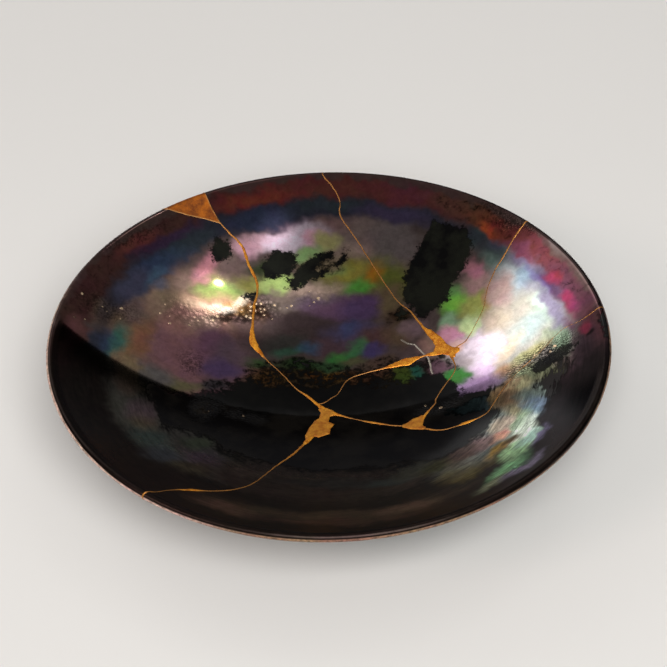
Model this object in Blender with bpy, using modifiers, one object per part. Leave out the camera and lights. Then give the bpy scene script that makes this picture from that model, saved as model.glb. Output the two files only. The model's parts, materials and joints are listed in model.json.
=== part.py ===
"""Kintsugi dish: a wide, shallow stoneware dish that broke into six sherds and was mended with gold.

The dish is a turned profile. A branching network of narrow upright walls, the seams, cuts it into
its sherds and the rim fill, and the same network, a little narrower, is the gold lacquer joint.
The origin is the middle of the foot ring's underside, +Z is up and -Y is the front.
All sizes below are millimetres; the mesh is made in metres.
"""

import math

import bmesh
import bpy

MM = 0.001

# The dish
RIM_RADIUS = 110.0
HEIGHT = 40.0
DEPTH = 32.0  # from the rim's plane down to the middle of the floor
LIP_WALL = 3.4
FOOT_WALL = 5.0  # wall thickness just outside the foot ring
FOOT_RADIUS = 38.0
FOOT_WIDTH = 5.0
FOOT_CHAMFER = 0.8
RECESS_RISE = 3.8  # height of the floor's underside at the middle
RECESS_SLOPE = 1.2  # how much lower that underside is at the foot ring than a flat one would be
WARP = 0.35  # the rim is out of round by this much, in three lobes
WARP_TURN = math.radians(30)
STEPS = 84

# The seams
GAP = 0.3  # clearance between the lacquer and each sherd
CUT_BELOW, CUT_ABOVE = -6.0, 52.0
CUT_STAGGER = 0.7  # each cutter is this much longer than the one before, so no two caps coincide

# Each seam is a chain of (x, y, width) from end to end. Ends beyond the rim cut it right through.
SEAMS = {
    "chip_near_edge": (
        (-71.0, 84.8, 1.2), (-59.9, 84.4, 1.2), (-51.9, 84.4, 1.2), (-45.2, 83.8, 1.4),
    ),
    "chip_far_edge": (
        (-52.9, 97.6, 1.2), (-50.9, 93.6, 1.2), (-48.4, 88.7, 1.2), (-44.7, 83.0, 1.4),
    ),
    "chip_to_middle": (
        (-45.9, 84.4, 1.4), (-41.4, 80.2, 1.2), (-37.3, 76.7, 1.2), (-34.9, 72.9, 1.3),
        (-33.2, 67.1, 1.6), (-31.1, 62.6, 1.3), (-29.6, 58.2, 1.2), (-29.6, 52.7, 1.2),
        (-30.7, 47.6, 1.8), (-31.3, 38.6, 1.8), (-31.5, 32.1, 2.2), (-31.1, 28.1, 3.0),
        (-29.0, 23.9, 2.2), (-24.6, 17.8, 1.4), (-19.3, 11.4, 1.3), (-13.6, 3.2, 1.5),
        (-8.9, -1.5, 1.8), (-5.2, -6.2, 2.0), (-1.9, -10.7, 2.6),
    ),
    "middle_to_near_left_rim": (
        (-7.8, -27.0, 2.4), (-11.3, -33.7, 1.8), (-14.8, -39.4, 1.7), (-20.1, -46.9, 1.5),
        (-23.1, -51.8, 1.2), (-27.8, -60.4, 1.2), (-31.6, -65.7, 1.3), (-37.5, -70.4, 1.4),
        (-44.4, -73.5, 1.2), (-51.1, -75.3, 2.0), (-57.6, -78.6, 1.3), (-63.0, -84.0, 1.3),
        (-67.3, -86.6, 2.0), (-71.5, -92.5, 2.0),
    ),
    "middle_to_right_corner": (
        (-0.9, -11.1, 2.4), (3.1, -13.1, 2.0), (7.5, -15.4, 1.5), (11.4, -17.2, 1.3),
        (16.0, -19.2, 1.9), (23.0, -22.2, 1.6), (27.0, -23.5, 1.5), (32.0, -25.0, 1.8),
    ),
    "right_corner_to_rim": (
        (33.9, -26.2, 1.8), (38.4, -28.7, 1.6), (40.9, -30.1, 1.6), (43.9, -30.6, 1.4),
        (48.4, -30.1, 1.4), (52.0, -29.3, 2.0), (57.1, -27.9, 1.5), (60.7, -26.0, 1.3),
        (62.9, -22.4, 1.2), (68.2, -13.3, 1.0), (72.2, -8.4, 1.0), (76.4, -4.3, 1.0),
        (82.7, 0.2, 1.0), (90.3, 7.0, 1.0), (94.4, 9.1, 1.0), (98.9, 9.0, 1.0),
        (103.0, 10.0, 1.1), (107.8, 11.5, 1.3), (115.0, 12.0, 1.3),
    ),
    "far_rim_to_star": (
        (-1.6, 114.0, 1.3), (-0.8, 107.1, 1.2), (3.2, 102.3, 1.2), (6.1, 96.6, 1.3),
        (6.1, 90.5, 1.4), (10.2, 83.7, 1.2), (15.5, 74.6, 1.2), (25.0, 55.8, 1.2),
        (29.3, 47.6, 1.3), (34.1, 41.8, 1.5), (37.1, 36.1, 1.7), (39.7, 31.3, 2.0),
        (42.3, 27.5, 3.0), (45.3, 21.6, 3.4), (48.4, 16.8, 2.6),
    ),
    "far_right_rim_to_star": (
        (88.5, 73.4, 1.2), (80.1, 65.6, 1.1), (77.6, 62.6, 1.1), (72.9, 56.0, 1.0),
        (70.2, 52.7, 1.0), (66.0, 43.7, 1.0), (64.2, 35.8, 1.0), (60.6, 28.3, 1.0),
        (57.4, 22.5, 1.0), (54.8, 19.3, 1.0), (50.9, 16.3, 1.2),
    ),
    "star_to_middle": (
        (45.9, 17.6, 2.4), (41.4, 16.9, 2.2), (38.4, 16.6, 1.6), (34.9, 15.9, 2.2),
        (32.2, 14.9, 4.2), (29.6, 14.7, 3.4), (26.5, 13.9, 2.6), (22.5, 12.9, 1.8),
        (14.3, 11.0, 1.3), (7.3, 7.8, 1.3), (3.3, 0.0, 1.0), (0.9, -2.4, 1.1),
        (-2.4, -5.4, 1.3), (-4.9, -7.0, 1.5),
    ),
    "star_to_right_corner": (
        (50.5, 15.5, 2.2), (50.6, 8.0, 1.4), (50.3, 4.9, 1.2), (48.9, 1.8, 1.2),
        (46.7, -1.3, 1.2), (42.1, -9.4, 1.4), (41.4, -12.6, 1.4), (37.9, -17.7, 1.8),
        (34.4, -21.9, 2.6),
    ),
}

# Where chips of the edges are lost, the lacquer fills a whole patch.
PATCHES = {
    "middle": (
        (-4.9, -9.1), (-3.9, -11.7), (-4.5, -15.0), (-6.2, -16.6), (-8.5, -21.4), (-10.1, -26.5),
        (-9.8, -29.7), (-8.4, -29.9), (-6.3, -26.9), (-4.9, -27.6), (-0.4, -25.2), (-0.1, -22.2),
        (1.5, -19.0), (-0.8, -17.4), (-0.2, -14.2), (1.9, -13.3), (1.5, -10.6), (-1.4, -8.6),
    ),
    "right_corner": (
        (28.0, -23.1), (29.8, -22.3), (32.2, -20.1), (34.3, -19.5), (35.8, -18.5), (36.9, -19.6),
        (35.9, -25.4), (37.1, -26.9), (36.2, -28.1), (31.0, -26.6), (28.0, -24.6),
    ),
    "star": (
        (40.2, 30.3), (41.9, 30.5), (46.1, 25.2), (48.1, 20.8), (50.2, 18.5), (53.1, 17.1),
        (52.9, 15.3), (51.3, 14.1), (51.1, 12.5), (49.8, 12.7), (48.5, 14.1), (44.9, 16.3),
        (42.9, 15.9), (42.5, 18.2), (43.5, 21.4), (42.3, 25.5),
    ),
}

# A point on the plan inside each loose piece, which gives the piece its name.
PIECES = {
    "sherd_left": (-62.0, -10.0),
    "sherd_top": (-10.0, 60.0),
    "sherd_upper_right": (52.0, 60.0),
    "sherd_right": (75.0, 12.0),
    "sherd_front": (20.0, -60.0),
    "sherd_inner": (25.0, -3.0),
    "rim_chip_fill": (-54.0, 89.5),
}

GLAZE = ((0.012, 0.011, 0.013), 0.12, 0.35)  # colour, roughness, metallic
GOLD = ((0.62, 0.30, 0.045), 0.38, 0.9)
FILL = ((0.48, 0.22, 0.03), 0.55, 0.8)


def clear_scene():
    """Start from an empty scene."""
    for obj in list(bpy.data.objects):
        bpy.data.objects.remove(obj, do_unlink=True)


def new_collection(name):
    """A collection in the scene."""
    collection = bpy.data.collections.new(name)
    bpy.context.scene.collection.children.link(collection)
    return collection


def new_material(name, look):
    """A Principled material from (colour, roughness, metallic)."""
    colour, roughness, metallic = look
    material = bpy.data.materials.new(name)
    material.use_nodes = True
    shader = material.node_tree.nodes["Principled BSDF"]
    shader.inputs["Base Color"].default_value = (*colour, 1.0)
    shader.inputs["Roughness"].default_value = roughness
    shader.inputs["Metallic"].default_value = metallic
    return material


def evaluated_mesh(obj, name):
    """The object's mesh with its modifiers applied, welded."""
    depsgraph = bpy.context.evaluated_depsgraph_get()
    mesh = bpy.data.meshes.new_from_object(obj.evaluated_get(depsgraph))
    mesh.name = name
    bm = bmesh.new()
    bm.from_mesh(mesh)
    bmesh.ops.remove_doubles(bm, verts=bm.verts, dist=1e-6)
    bm.to_mesh(mesh)
    bm.free()
    return mesh


# ---------------------------------------------------------------- the dish's section

LIP_CENTRE = RIM_RADIUS - LIP_WALL / 2  # radius of the circle that the lip's round runs along
MID_WALL_RADIUS = (LIP_CENTRE**2 + DEPTH**2) / (2 * DEPTH)  # the wall is part of a sphere
BOWL_RADIUS = MID_WALL_RADIUS - LIP_WALL / 2  # of the inside
BOWL_CENTRE = HEIGHT - DEPTH + BOWL_RADIUS  # height of that sphere's centre
LIP_ANGLE = math.asin(LIP_CENTRE / MID_WALL_RADIUS)
FOOT_ANGLE = math.asin((FOOT_RADIUS + 1.5) / BOWL_RADIUS)


def bowl_point(angle, offset):
    """(radius, height) at an angle from straight down and a distance outside the bowl's sphere."""
    reach = BOWL_RADIUS + offset
    return reach * math.sin(angle), BOWL_CENTRE - reach * math.cos(angle)


def dish_profile():
    """The section from the lip's inner corner over the lip, down the outside and foot to the axis,
    then out along the floor and up the inside."""
    points = []
    for i in range(5):  # the lip is half a circle across the wall
        turn = math.pi * i / 4
        outward = LIP_WALL / 2 * (1 - math.cos(turn))
        upward = LIP_WALL / 2 * math.sin(turn)
        angle = LIP_ANGLE + upward / BOWL_RADIUS
        points.append(bowl_point(angle, outward))
    for i in range(1, 7):  # the outside, thickening towards the foot
        share = i / 6
        angle = LIP_ANGLE + (FOOT_ANGLE - LIP_ANGLE) * share
        points.append(bowl_point(angle, LIP_WALL + (FOOT_WALL - LIP_WALL) * share))
    foot_inner = FOOT_RADIUS - FOOT_WIDTH
    points += [
        (FOOT_RADIUS + 0.2, 4.6),
        (FOOT_RADIUS, FOOT_CHAMFER),
        (FOOT_RADIUS - FOOT_CHAMFER, 0.0),
        (foot_inner + FOOT_CHAMFER, 0.0),
        (foot_inner, FOOT_CHAMFER),
        (foot_inner - 0.4, RECESS_RISE),
        (foot_inner * 0.75, RECESS_RISE + RECESS_SLOPE * 0.3),
        (0.0, RECESS_RISE),
        (0.0, HEIGHT - DEPTH),
    ]
    for i in range(1, 10):  # the inside, from the floor's middle up to the lip
        points.append(bowl_point(LIP_ANGLE * i / 9, 0.0))
    return points[:-1]


def make_dish(collection):
    """Turn the section once round, then warp the rim out of round."""
    points = dish_profile()
    bm = bmesh.new()
    verts = [bm.verts.new((r * MM, 0.0, z * MM)) for r, z in points]
    for first, second in zip(verts, verts[1:] + verts[:1]):
        if first.co.x > 0 or second.co.x > 0:  # the axis itself needs no edge
            bm.edges.new((first, second))
    mesh = bpy.data.meshes.new("dish_section")
    bm.to_mesh(mesh)
    bm.free()
    obj = bpy.data.objects.new("dish_section", mesh)
    collection.objects.link(obj)
    screw = obj.modifiers.new("turn", "SCREW")
    screw.steps = screw.render_steps = STEPS
    screw.use_merge_vertices = True
    screw.merge_threshold = 0.00001
    obj.data = evaluated_mesh(obj, "dish")
    obj.modifiers.clear()
    for vert in obj.data.vertices:
        radius = math.hypot(vert.co.x, vert.co.y)
        lobes = math.cos(3 * (math.atan2(vert.co.y, vert.co.x) - WARP_TURN))
        spread = 1 + WARP / RIM_RADIUS * lobes * (radius / MM / RIM_RADIUS) ** 2
        vert.co.x *= spread
        vert.co.y *= spread
    return obj


# ---------------------------------------------------------------- the seams

def ribbon_outline(chain, margin):
    """The plan outline of a seam, its width grown by margin on each side."""
    left, right = [], []
    for i, (x, y, width) in enumerate(chain):
        x0, y0, _ = chain[max(i - 1, 0)]
        x1, y1, _ = chain[min(i + 1, len(chain) - 1)]
        length = math.hypot(x1 - x0, y1 - y0)
        across = (-(y1 - y0) / length, (x1 - x0) / length)
        half = width / 2 + margin
        left.append((x + across[0] * half, y + across[1] * half))
        right.append((x - across[0] * half, y - across[1] * half))
    return left + right[::-1]


def grown_outline(outline, margin):
    """A closed plan outline with each corner moved out by margin, square to its neighbours."""
    area = sum(
        x0 * y1 - x1 * y0 for (x0, y0), (x1, y1) in zip(outline, outline[1:] + outline[:1])
    )
    side = math.copysign(1.0, area)
    grown = []
    for i, (x, y) in enumerate(outline):
        x0, y0 = outline[i - 1]
        x1, y1 = outline[(i + 1) % len(outline)]
        length = math.hypot(x1 - x0, y1 - y0)
        grown.append(
            (x + side * (y1 - y0) / length * margin, y - side * (x1 - x0) / length * margin)
        )
    return grown


def prism(name, outline, order, collection):
    """An upright wall on a plan outline, as a filled 2D curve made into a mesh object."""
    bottom = CUT_BELOW - order * CUT_STAGGER
    top = CUT_ABOVE + order * CUT_STAGGER
    curve = bpy.data.curves.new(name, "CURVE")
    curve.dimensions = "2D"
    curve.fill_mode = "BOTH"
    curve.extrude = (top - bottom) / 2 * MM
    spline = curve.splines.new("POLY")
    spline.points.add(len(outline) - 1)
    for point, (x, y) in zip(spline.points, outline):
        point.co = (x * MM, y * MM, 0.0, 1.0)
    spline.use_cyclic_u = True
    flat = bpy.data.objects.new(name + "_outline", curve)
    flat.location.z = (top + bottom) / 2 * MM
    collection.objects.link(flat)
    obj = bpy.data.objects.new(name, evaluated_mesh(flat, name))
    obj.location = flat.location
    collection.objects.link(obj)
    bpy.data.objects.remove(flat)
    return hide_cutter(obj)


def hide_cutter(obj):
    """Mark an object as a cutter, which isn't part of the dish."""
    obj.hide_render = True
    obj.display_type = "WIRE"
    return obj


def combine(obj, other, operation):
    """Apply a Boolean of obj with other to obj's mesh."""
    bpy.context.view_layer.update()
    boolean = obj.modifiers.new(operation.lower(), "BOOLEAN")
    boolean.operation = operation
    boolean.object = other
    boolean.solver = "EXACT"
    obj.data = evaluated_mesh(obj, obj.name)
    obj.modifiers.clear()
    return obj


def seam_network(name, margin, collection):
    """All seams and patches as one branching wall, each half-width grown by margin."""
    outlines = {key: ribbon_outline(chain, margin) for key, chain in SEAMS.items()}
    outlines |= {key: grown_outline(list(rim), margin) for key, rim in PATCHES.items()}
    walls = [
        prism(f"{name}_{key}", outline, order, collection)
        for order, (key, outline) in enumerate(outlines.items())
    ]
    network = walls[0]
    for wall in walls[1:]:
        combine(network, wall, "UNION")
        bpy.data.objects.remove(wall)
    network.name = name
    return network


# ---------------------------------------------------------------- the pieces

def islands(bm):
    """The sets of faces that hang together."""
    left = set(bm.faces)
    while left:
        found, reached = set(), [left.pop()]
        while reached:
            face = reached.pop()
            found.add(face)
            for edge in face.edges:
                for other in edge.link_faces:
                    if other in left:
                        left.remove(other)
                        reached.append(other)
        yield found


def plan_middle(faces):
    """The area-weighted middle of some faces on the plan, in millimetres."""
    total = sum(face.calc_area() for face in faces)
    x = sum(face.calc_area() * face.calc_center_median().x for face in faces) / total
    y = sum(face.calc_area() * face.calc_center_median().y for face in faces) / total
    return x / MM, y / MM


def finish(obj, material, collection):
    """Give a piece its material and smooth shading, and put it in the dish's collection."""
    for home in list(obj.users_collection):
        home.objects.unlink(obj)
    collection.objects.link(obj)
    obj.data.materials.clear()
    obj.data.materials.append(material)
    obj.data.shade_smooth()
    obj.data.set_sharp_from_angle(angle=math.radians(30))


def split_pieces(dish, materials, collection):
    """Part the cut dish into its loose pieces, each named by the plan point it holds."""
    whole = bmesh.new()
    whole.from_mesh(dish.data)
    for faces in islands(whole):
        middle = plan_middle(faces)
        name = min(PIECES, key=lambda key: math.dist(PIECES[key], middle))
        keep = {face.index for face in faces}
        bm = bmesh.new()
        bm.from_mesh(dish.data)
        bm.faces.ensure_lookup_table()
        others = [face for face in bm.faces if face.index not in keep]
        bmesh.ops.delete(bm, geom=others, context="FACES")
        mesh = bpy.data.meshes.new(name)
        bm.to_mesh(mesh)
        bm.free()
        obj = bpy.data.objects.new(name, mesh)
        finish(obj, materials.get(name, materials["sherd"]), collection)
    whole.free()


def main():
    """Build the dish, cut it and name its pieces."""
    clear_scene()
    parts = new_collection("kintsugi_dish")
    cutters = new_collection("cutters")
    materials = {
        "sherd": new_material("lustre_glaze", GLAZE),
        "rim_chip_fill": new_material("gold_dusted_fill", FILL),
        "gold_seams": new_material("gold_lacquer", GOLD),
    }
    gold = make_dish(cutters)
    gold.name = "gold_seams"
    combine(gold, seam_network("seams", 0.0, cutters), "INTERSECT")
    dish = hide_cutter(make_dish(cutters))
    combine(dish, seam_network("seams_with_gap", GAP, cutters), "DIFFERENCE")
    finish(gold, materials["gold_seams"], parts)
    split_pieces(dish, materials, parts)


main()
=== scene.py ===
"""Kintsugi dish: a wide shallow stoneware dish with a black lustre glaze, mended with gold lacquer.

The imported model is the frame. Six glazed sherds, the gold rim fill and the raised gold seams take
the place of its solids, each turned, cut or laid where the solid is. Sizes are in millimetres and
become metres only where a mesh is made. +Z is up, the origin is the middle of the foot ring's
underside, and -Y is the front.
"""

from __future__ import annotations

import json
import logging
import math
from dataclasses import dataclass, field
from enum import Enum
from typing import Any, Iterable, Sequence

import bmesh
import bpy
import numpy as np
from mathutils import Matrix, Quaternion, Vector, noise

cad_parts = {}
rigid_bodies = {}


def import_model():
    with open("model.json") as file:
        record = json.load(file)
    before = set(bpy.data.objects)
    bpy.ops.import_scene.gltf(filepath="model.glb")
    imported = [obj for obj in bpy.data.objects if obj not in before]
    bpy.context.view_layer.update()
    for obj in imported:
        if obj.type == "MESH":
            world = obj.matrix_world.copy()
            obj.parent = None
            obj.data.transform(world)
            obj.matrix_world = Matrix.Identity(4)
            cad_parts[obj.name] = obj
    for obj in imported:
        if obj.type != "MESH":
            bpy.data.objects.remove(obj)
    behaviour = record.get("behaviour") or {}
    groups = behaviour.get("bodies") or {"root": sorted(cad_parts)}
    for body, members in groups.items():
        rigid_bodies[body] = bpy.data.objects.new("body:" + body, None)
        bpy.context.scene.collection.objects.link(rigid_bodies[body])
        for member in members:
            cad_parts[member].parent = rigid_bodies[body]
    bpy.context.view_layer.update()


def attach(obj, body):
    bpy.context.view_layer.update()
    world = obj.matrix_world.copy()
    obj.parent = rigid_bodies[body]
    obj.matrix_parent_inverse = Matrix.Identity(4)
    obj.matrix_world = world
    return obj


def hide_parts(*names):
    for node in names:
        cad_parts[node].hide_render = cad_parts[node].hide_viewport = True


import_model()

MM = 0.001
LOG = logging.getLogger("kintsugi_dish")

Point = tuple[float, float]
Knot = tuple[float, float, float]  # x, y and width


# ---------------------------------------------------------------- small tools

def linear(code: str, alpha: float = 1.0) -> tuple[float, float, float, float]:
    """The linear colour of an sRGB hex value.

    Args:
        code: Six hex digits after a hash sign.
        alpha: The fourth channel.

    Returns:
        Red, green, blue and alpha for a shader socket.
    """
    parts = [int(code[i:i + 2], 16) / 255 for i in (1, 3, 5)]
    lin = [c / 12.92 if c <= 0.04045 else ((c + 0.055) / 1.055) ** 2.4 for c in parts]
    return (*lin, alpha)


def smoothstep(low: float, high: float, value: np.ndarray) -> np.ndarray:
    """A smooth rise from 0 at low to 1 at high.

    Args:
        low: Where the rise starts.
        high: Where it ends.
        value: The values to map.

    Returns:
        The mapped values, from 0 to 1.
    """
    share = np.clip((value - low) / (high - low), 0.0, 1.0)
    return share * share * (3 - 2 * share)


def between(rise: Sequence[Any], fall: Sequence[Any], value: np.ndarray) -> np.ndarray:
    """1 between two pairs of limits, with a smooth rise over the first and a fall over the second."""
    return smoothstep(*rise, value) * (1 - smoothstep(*fall, value))


def mixed(first: np.ndarray, second: np.ndarray, share: np.ndarray) -> np.ndarray:
    """Rows blended from the first to the second, by a share for each row."""
    return first * (1 - share[:, None]) + second * share[:, None]


def new_object(name: str, data: bpy.types.ID) -> bpy.types.Object:
    """Make an object and link it to the scene.

    Args:
        name: The object's name.
        data: Its mesh, lamp or camera.

    Returns:
        The object.
    """
    obj = bpy.data.objects.new(name, data)
    bpy.context.scene.collection.objects.link(obj)
    return obj


def drop(obj: bpy.types.Object) -> None:
    """Remove a working object that is no piece of the dish."""
    bpy.data.objects.remove(obj, do_unlink=True)


def combine(obj: bpy.types.Object, other: bpy.types.Object, operation: str, solver: str) -> None:
    """Apply a Boolean of obj with other to obj's mesh, and drop other.

    Args:
        obj: The object that is changed.
        other: The working object it is combined with.
        operation: UNION, DIFFERENCE or INTERSECT.
        solver: The Boolean's solver.
    """
    boolean = obj.modifiers.new(operation.lower(), "BOOLEAN")
    boolean.operation = operation
    boolean.object = other
    boolean.solver = solver
    bpy.context.view_layer.update()
    depsgraph = bpy.context.evaluated_depsgraph_get()
    mesh = bpy.data.meshes.new_from_object(obj.evaluated_get(depsgraph))
    obj.modifiers.clear()
    obj.data = mesh
    drop(other)


def mesh_of(bm: bmesh.types.BMesh, name: str) -> bpy.types.Mesh:
    """Turn a bmesh into a mesh, and free it.

    Args:
        bm: The bmesh.
        name: The mesh's name.

    Returns:
        The mesh.
    """
    mesh = bpy.data.meshes.new(name)
    bm.to_mesh(mesh)
    bm.free()
    return mesh


def points_of(mesh: bpy.types.Mesh) -> np.ndarray:
    """A mesh's vertices in millimetres.

    Args:
        mesh: The mesh.

    Returns:
        Rows of x, y, z.
    """
    flat = np.empty(len(mesh.vertices) * 3, np.float32)
    mesh.vertices.foreach_get("co", flat)
    return flat.reshape(-1, 3).astype(np.float64) / MM


def set_points(mesh: bpy.types.Mesh, points: np.ndarray) -> None:
    """Move a mesh's vertices to these places, in millimetres."""
    mesh.vertices.foreach_set("co", (points * MM).astype(np.float32).ravel())
    mesh.update()


def bmesh_points(bm: bmesh.types.BMesh) -> np.ndarray:
    """A bmesh's vertices in millimetres, one row each."""
    return np.array([vert.co[:] for vert in bm.verts]) / MM


def drop_loose(bm: bmesh.types.BMesh) -> None:
    """Delete the vertices of a bmesh that no face uses."""
    bmesh.ops.delete(bm, geom=[vert for vert in bm.verts if not vert.link_faces], context="VERTS")


def soft_noise(points: np.ndarray, size: float, shift: float = 0.0) -> np.ndarray:
    """Smooth noise on points.

    Args:
        points: Rows of x, y, z in millimetres.
        size: The size of its bumps in millimetres.
        shift: An offset that gives another pattern.

    Returns:
        One value from about -1 to 1 for each row.
    """
    rows = (points / size + shift).tolist()
    return np.array([noise.noise(row) for row in rows])


def beside(x: np.ndarray, y: np.ndarray, start: Sequence[float],
           end: Sequence[float]) -> tuple[np.ndarray, np.ndarray]:
    """Where plan points lie beside a straight stretch.

    Args:
        x: Plan x of each point, in millimetres.
        y: Plan y of each point.
        start: The stretch's first end; x and y come first in it.
        end: Its other end.

    Returns:
        The nearest place on the stretch as a share of its length, and the distance from it.
    """
    x0, y0 = start[:2]
    ex, ey = end[0] - x0, end[1] - y0
    share = np.clip(((x - x0) * ex + (y - y0) * ey) / (ex * ex + ey * ey), 0, 1)
    return share, np.hypot(x - x0 - ex * share, y - y0 - ey * share)


def chain_distance(x: np.ndarray, y: np.ndarray, chain: Sequence[Point]) -> np.ndarray:
    """Millimetres on the plan from each point to an open chain."""
    return np.minimum.reduce([beside(x, y, start, end)[1] for start, end in zip(chain, chain[1:])])


def signed_distance(x: np.ndarray, y: np.ndarray, outline: Sequence[Point]) -> np.ndarray:
    """Distance on the plan to a closed outline, negative inside it.

    Args:
        x: Plan x of each point, in millimetres.
        y: Plan y of each point.
        outline: The outline's corners.

    Returns:
        Millimetres for each point.
    """
    ring = [*outline, outline[0]]
    inside = np.zeros(x.shape, bool)
    for (x0, y0), (x1, y1) in zip(ring, ring[1:]):
        if y0 != y1:
            inside ^= ((y0 > y) != (y1 > y)) & (x < (x1 - x0) * (y - y0) / (y1 - y0) + x0)
    away = chain_distance(x, y, ring)
    return np.where(inside, -away, away)


def finish_mesh(obj: bpy.types.Object, angle: float = 35.0) -> None:
    """Shade an object smooth, with sharp edges where faces meet at more than angle degrees."""
    obj.data.shade_smooth()
    obj.data.set_sharp_from_angle(angle=math.radians(angle))


def dress(obj: bpy.types.Object, *materials: bpy.types.Material) -> None:
    """Give a piece these materials in place of any it has.

    Args:
        obj: The piece.
        *materials: Its materials in order.
    """
    obj.data.materials.clear()
    for material in materials:
        obj.data.materials.append(material)


def stand_for(obj: bpy.types.Object, node: str) -> None:
    """Let a finished piece take its CAD node's place and ride on the dish's one body.

    Args:
        obj: The piece.
        node: The CAD node that it replaces.
    """
    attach(obj, "root")
    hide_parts(node)


# ---------------------------------------------------------------- node trees

@dataclass
class Recipe:
    """The node tree of a new material, lamp or world while it is being written."""

    owner: bpy.types.ID
    column: int = 6  # nodes in a column of the layout
    pitch: Point = (220.0, -260.0)

    def __post_init__(self) -> None:
        """Give the owner an empty tree."""
        self.owner.use_nodes = True
        self.owner.node_tree.nodes.clear()

    def add(self, kind: str, *values: Any, at: dict[str | int, Any] | None = None,
            **settings: Any) -> bpy.types.Node:
        """Add a node with its settings and links.

        Args:
            kind: The node's type name without ShaderNode at its start.
            *values: What its first sockets take in order: a value, a socket, or a node whose first live
                output is meant.
            at: The same for sockets that are named or numbered.
            **settings: The node's own properties.

        Returns:
            The node.
        """
        tree = self.owner.node_tree
        node = tree.nodes.new(f"ShaderNode{kind}")
        for key, value in settings.items():
            setattr(node, key, value)
        for key, value in [*enumerate(values), *(at or {}).items()]:
            if isinstance(value, bpy.types.Node):
                value = next(socket for socket in value.outputs if socket.enabled)
            if isinstance(value, bpy.types.NodeSocket):
                tree.links.new(value, node.inputs[key])
            else:
                node.inputs[key].default_value = value
        return node

    def finish(self, shader: bpy.types.Node, end: str = "OutputMaterial") -> bpy.types.ID:
        """Link the shader to the output and lay the nodes out in columns.

        Args:
            shader: The tree's last shader.
            end: The output's type name without ShaderNode.

        Returns:
            The tree's owner.
        """
        self.add(end, shader)
        for i, node in enumerate(self.owner.node_tree.nodes):
            node.location = (self.pitch[0] * (i // self.column), self.pitch[1] * (i % self.column))
        return self.owner


# ---------------------------------------------------------------- the dish's section

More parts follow.
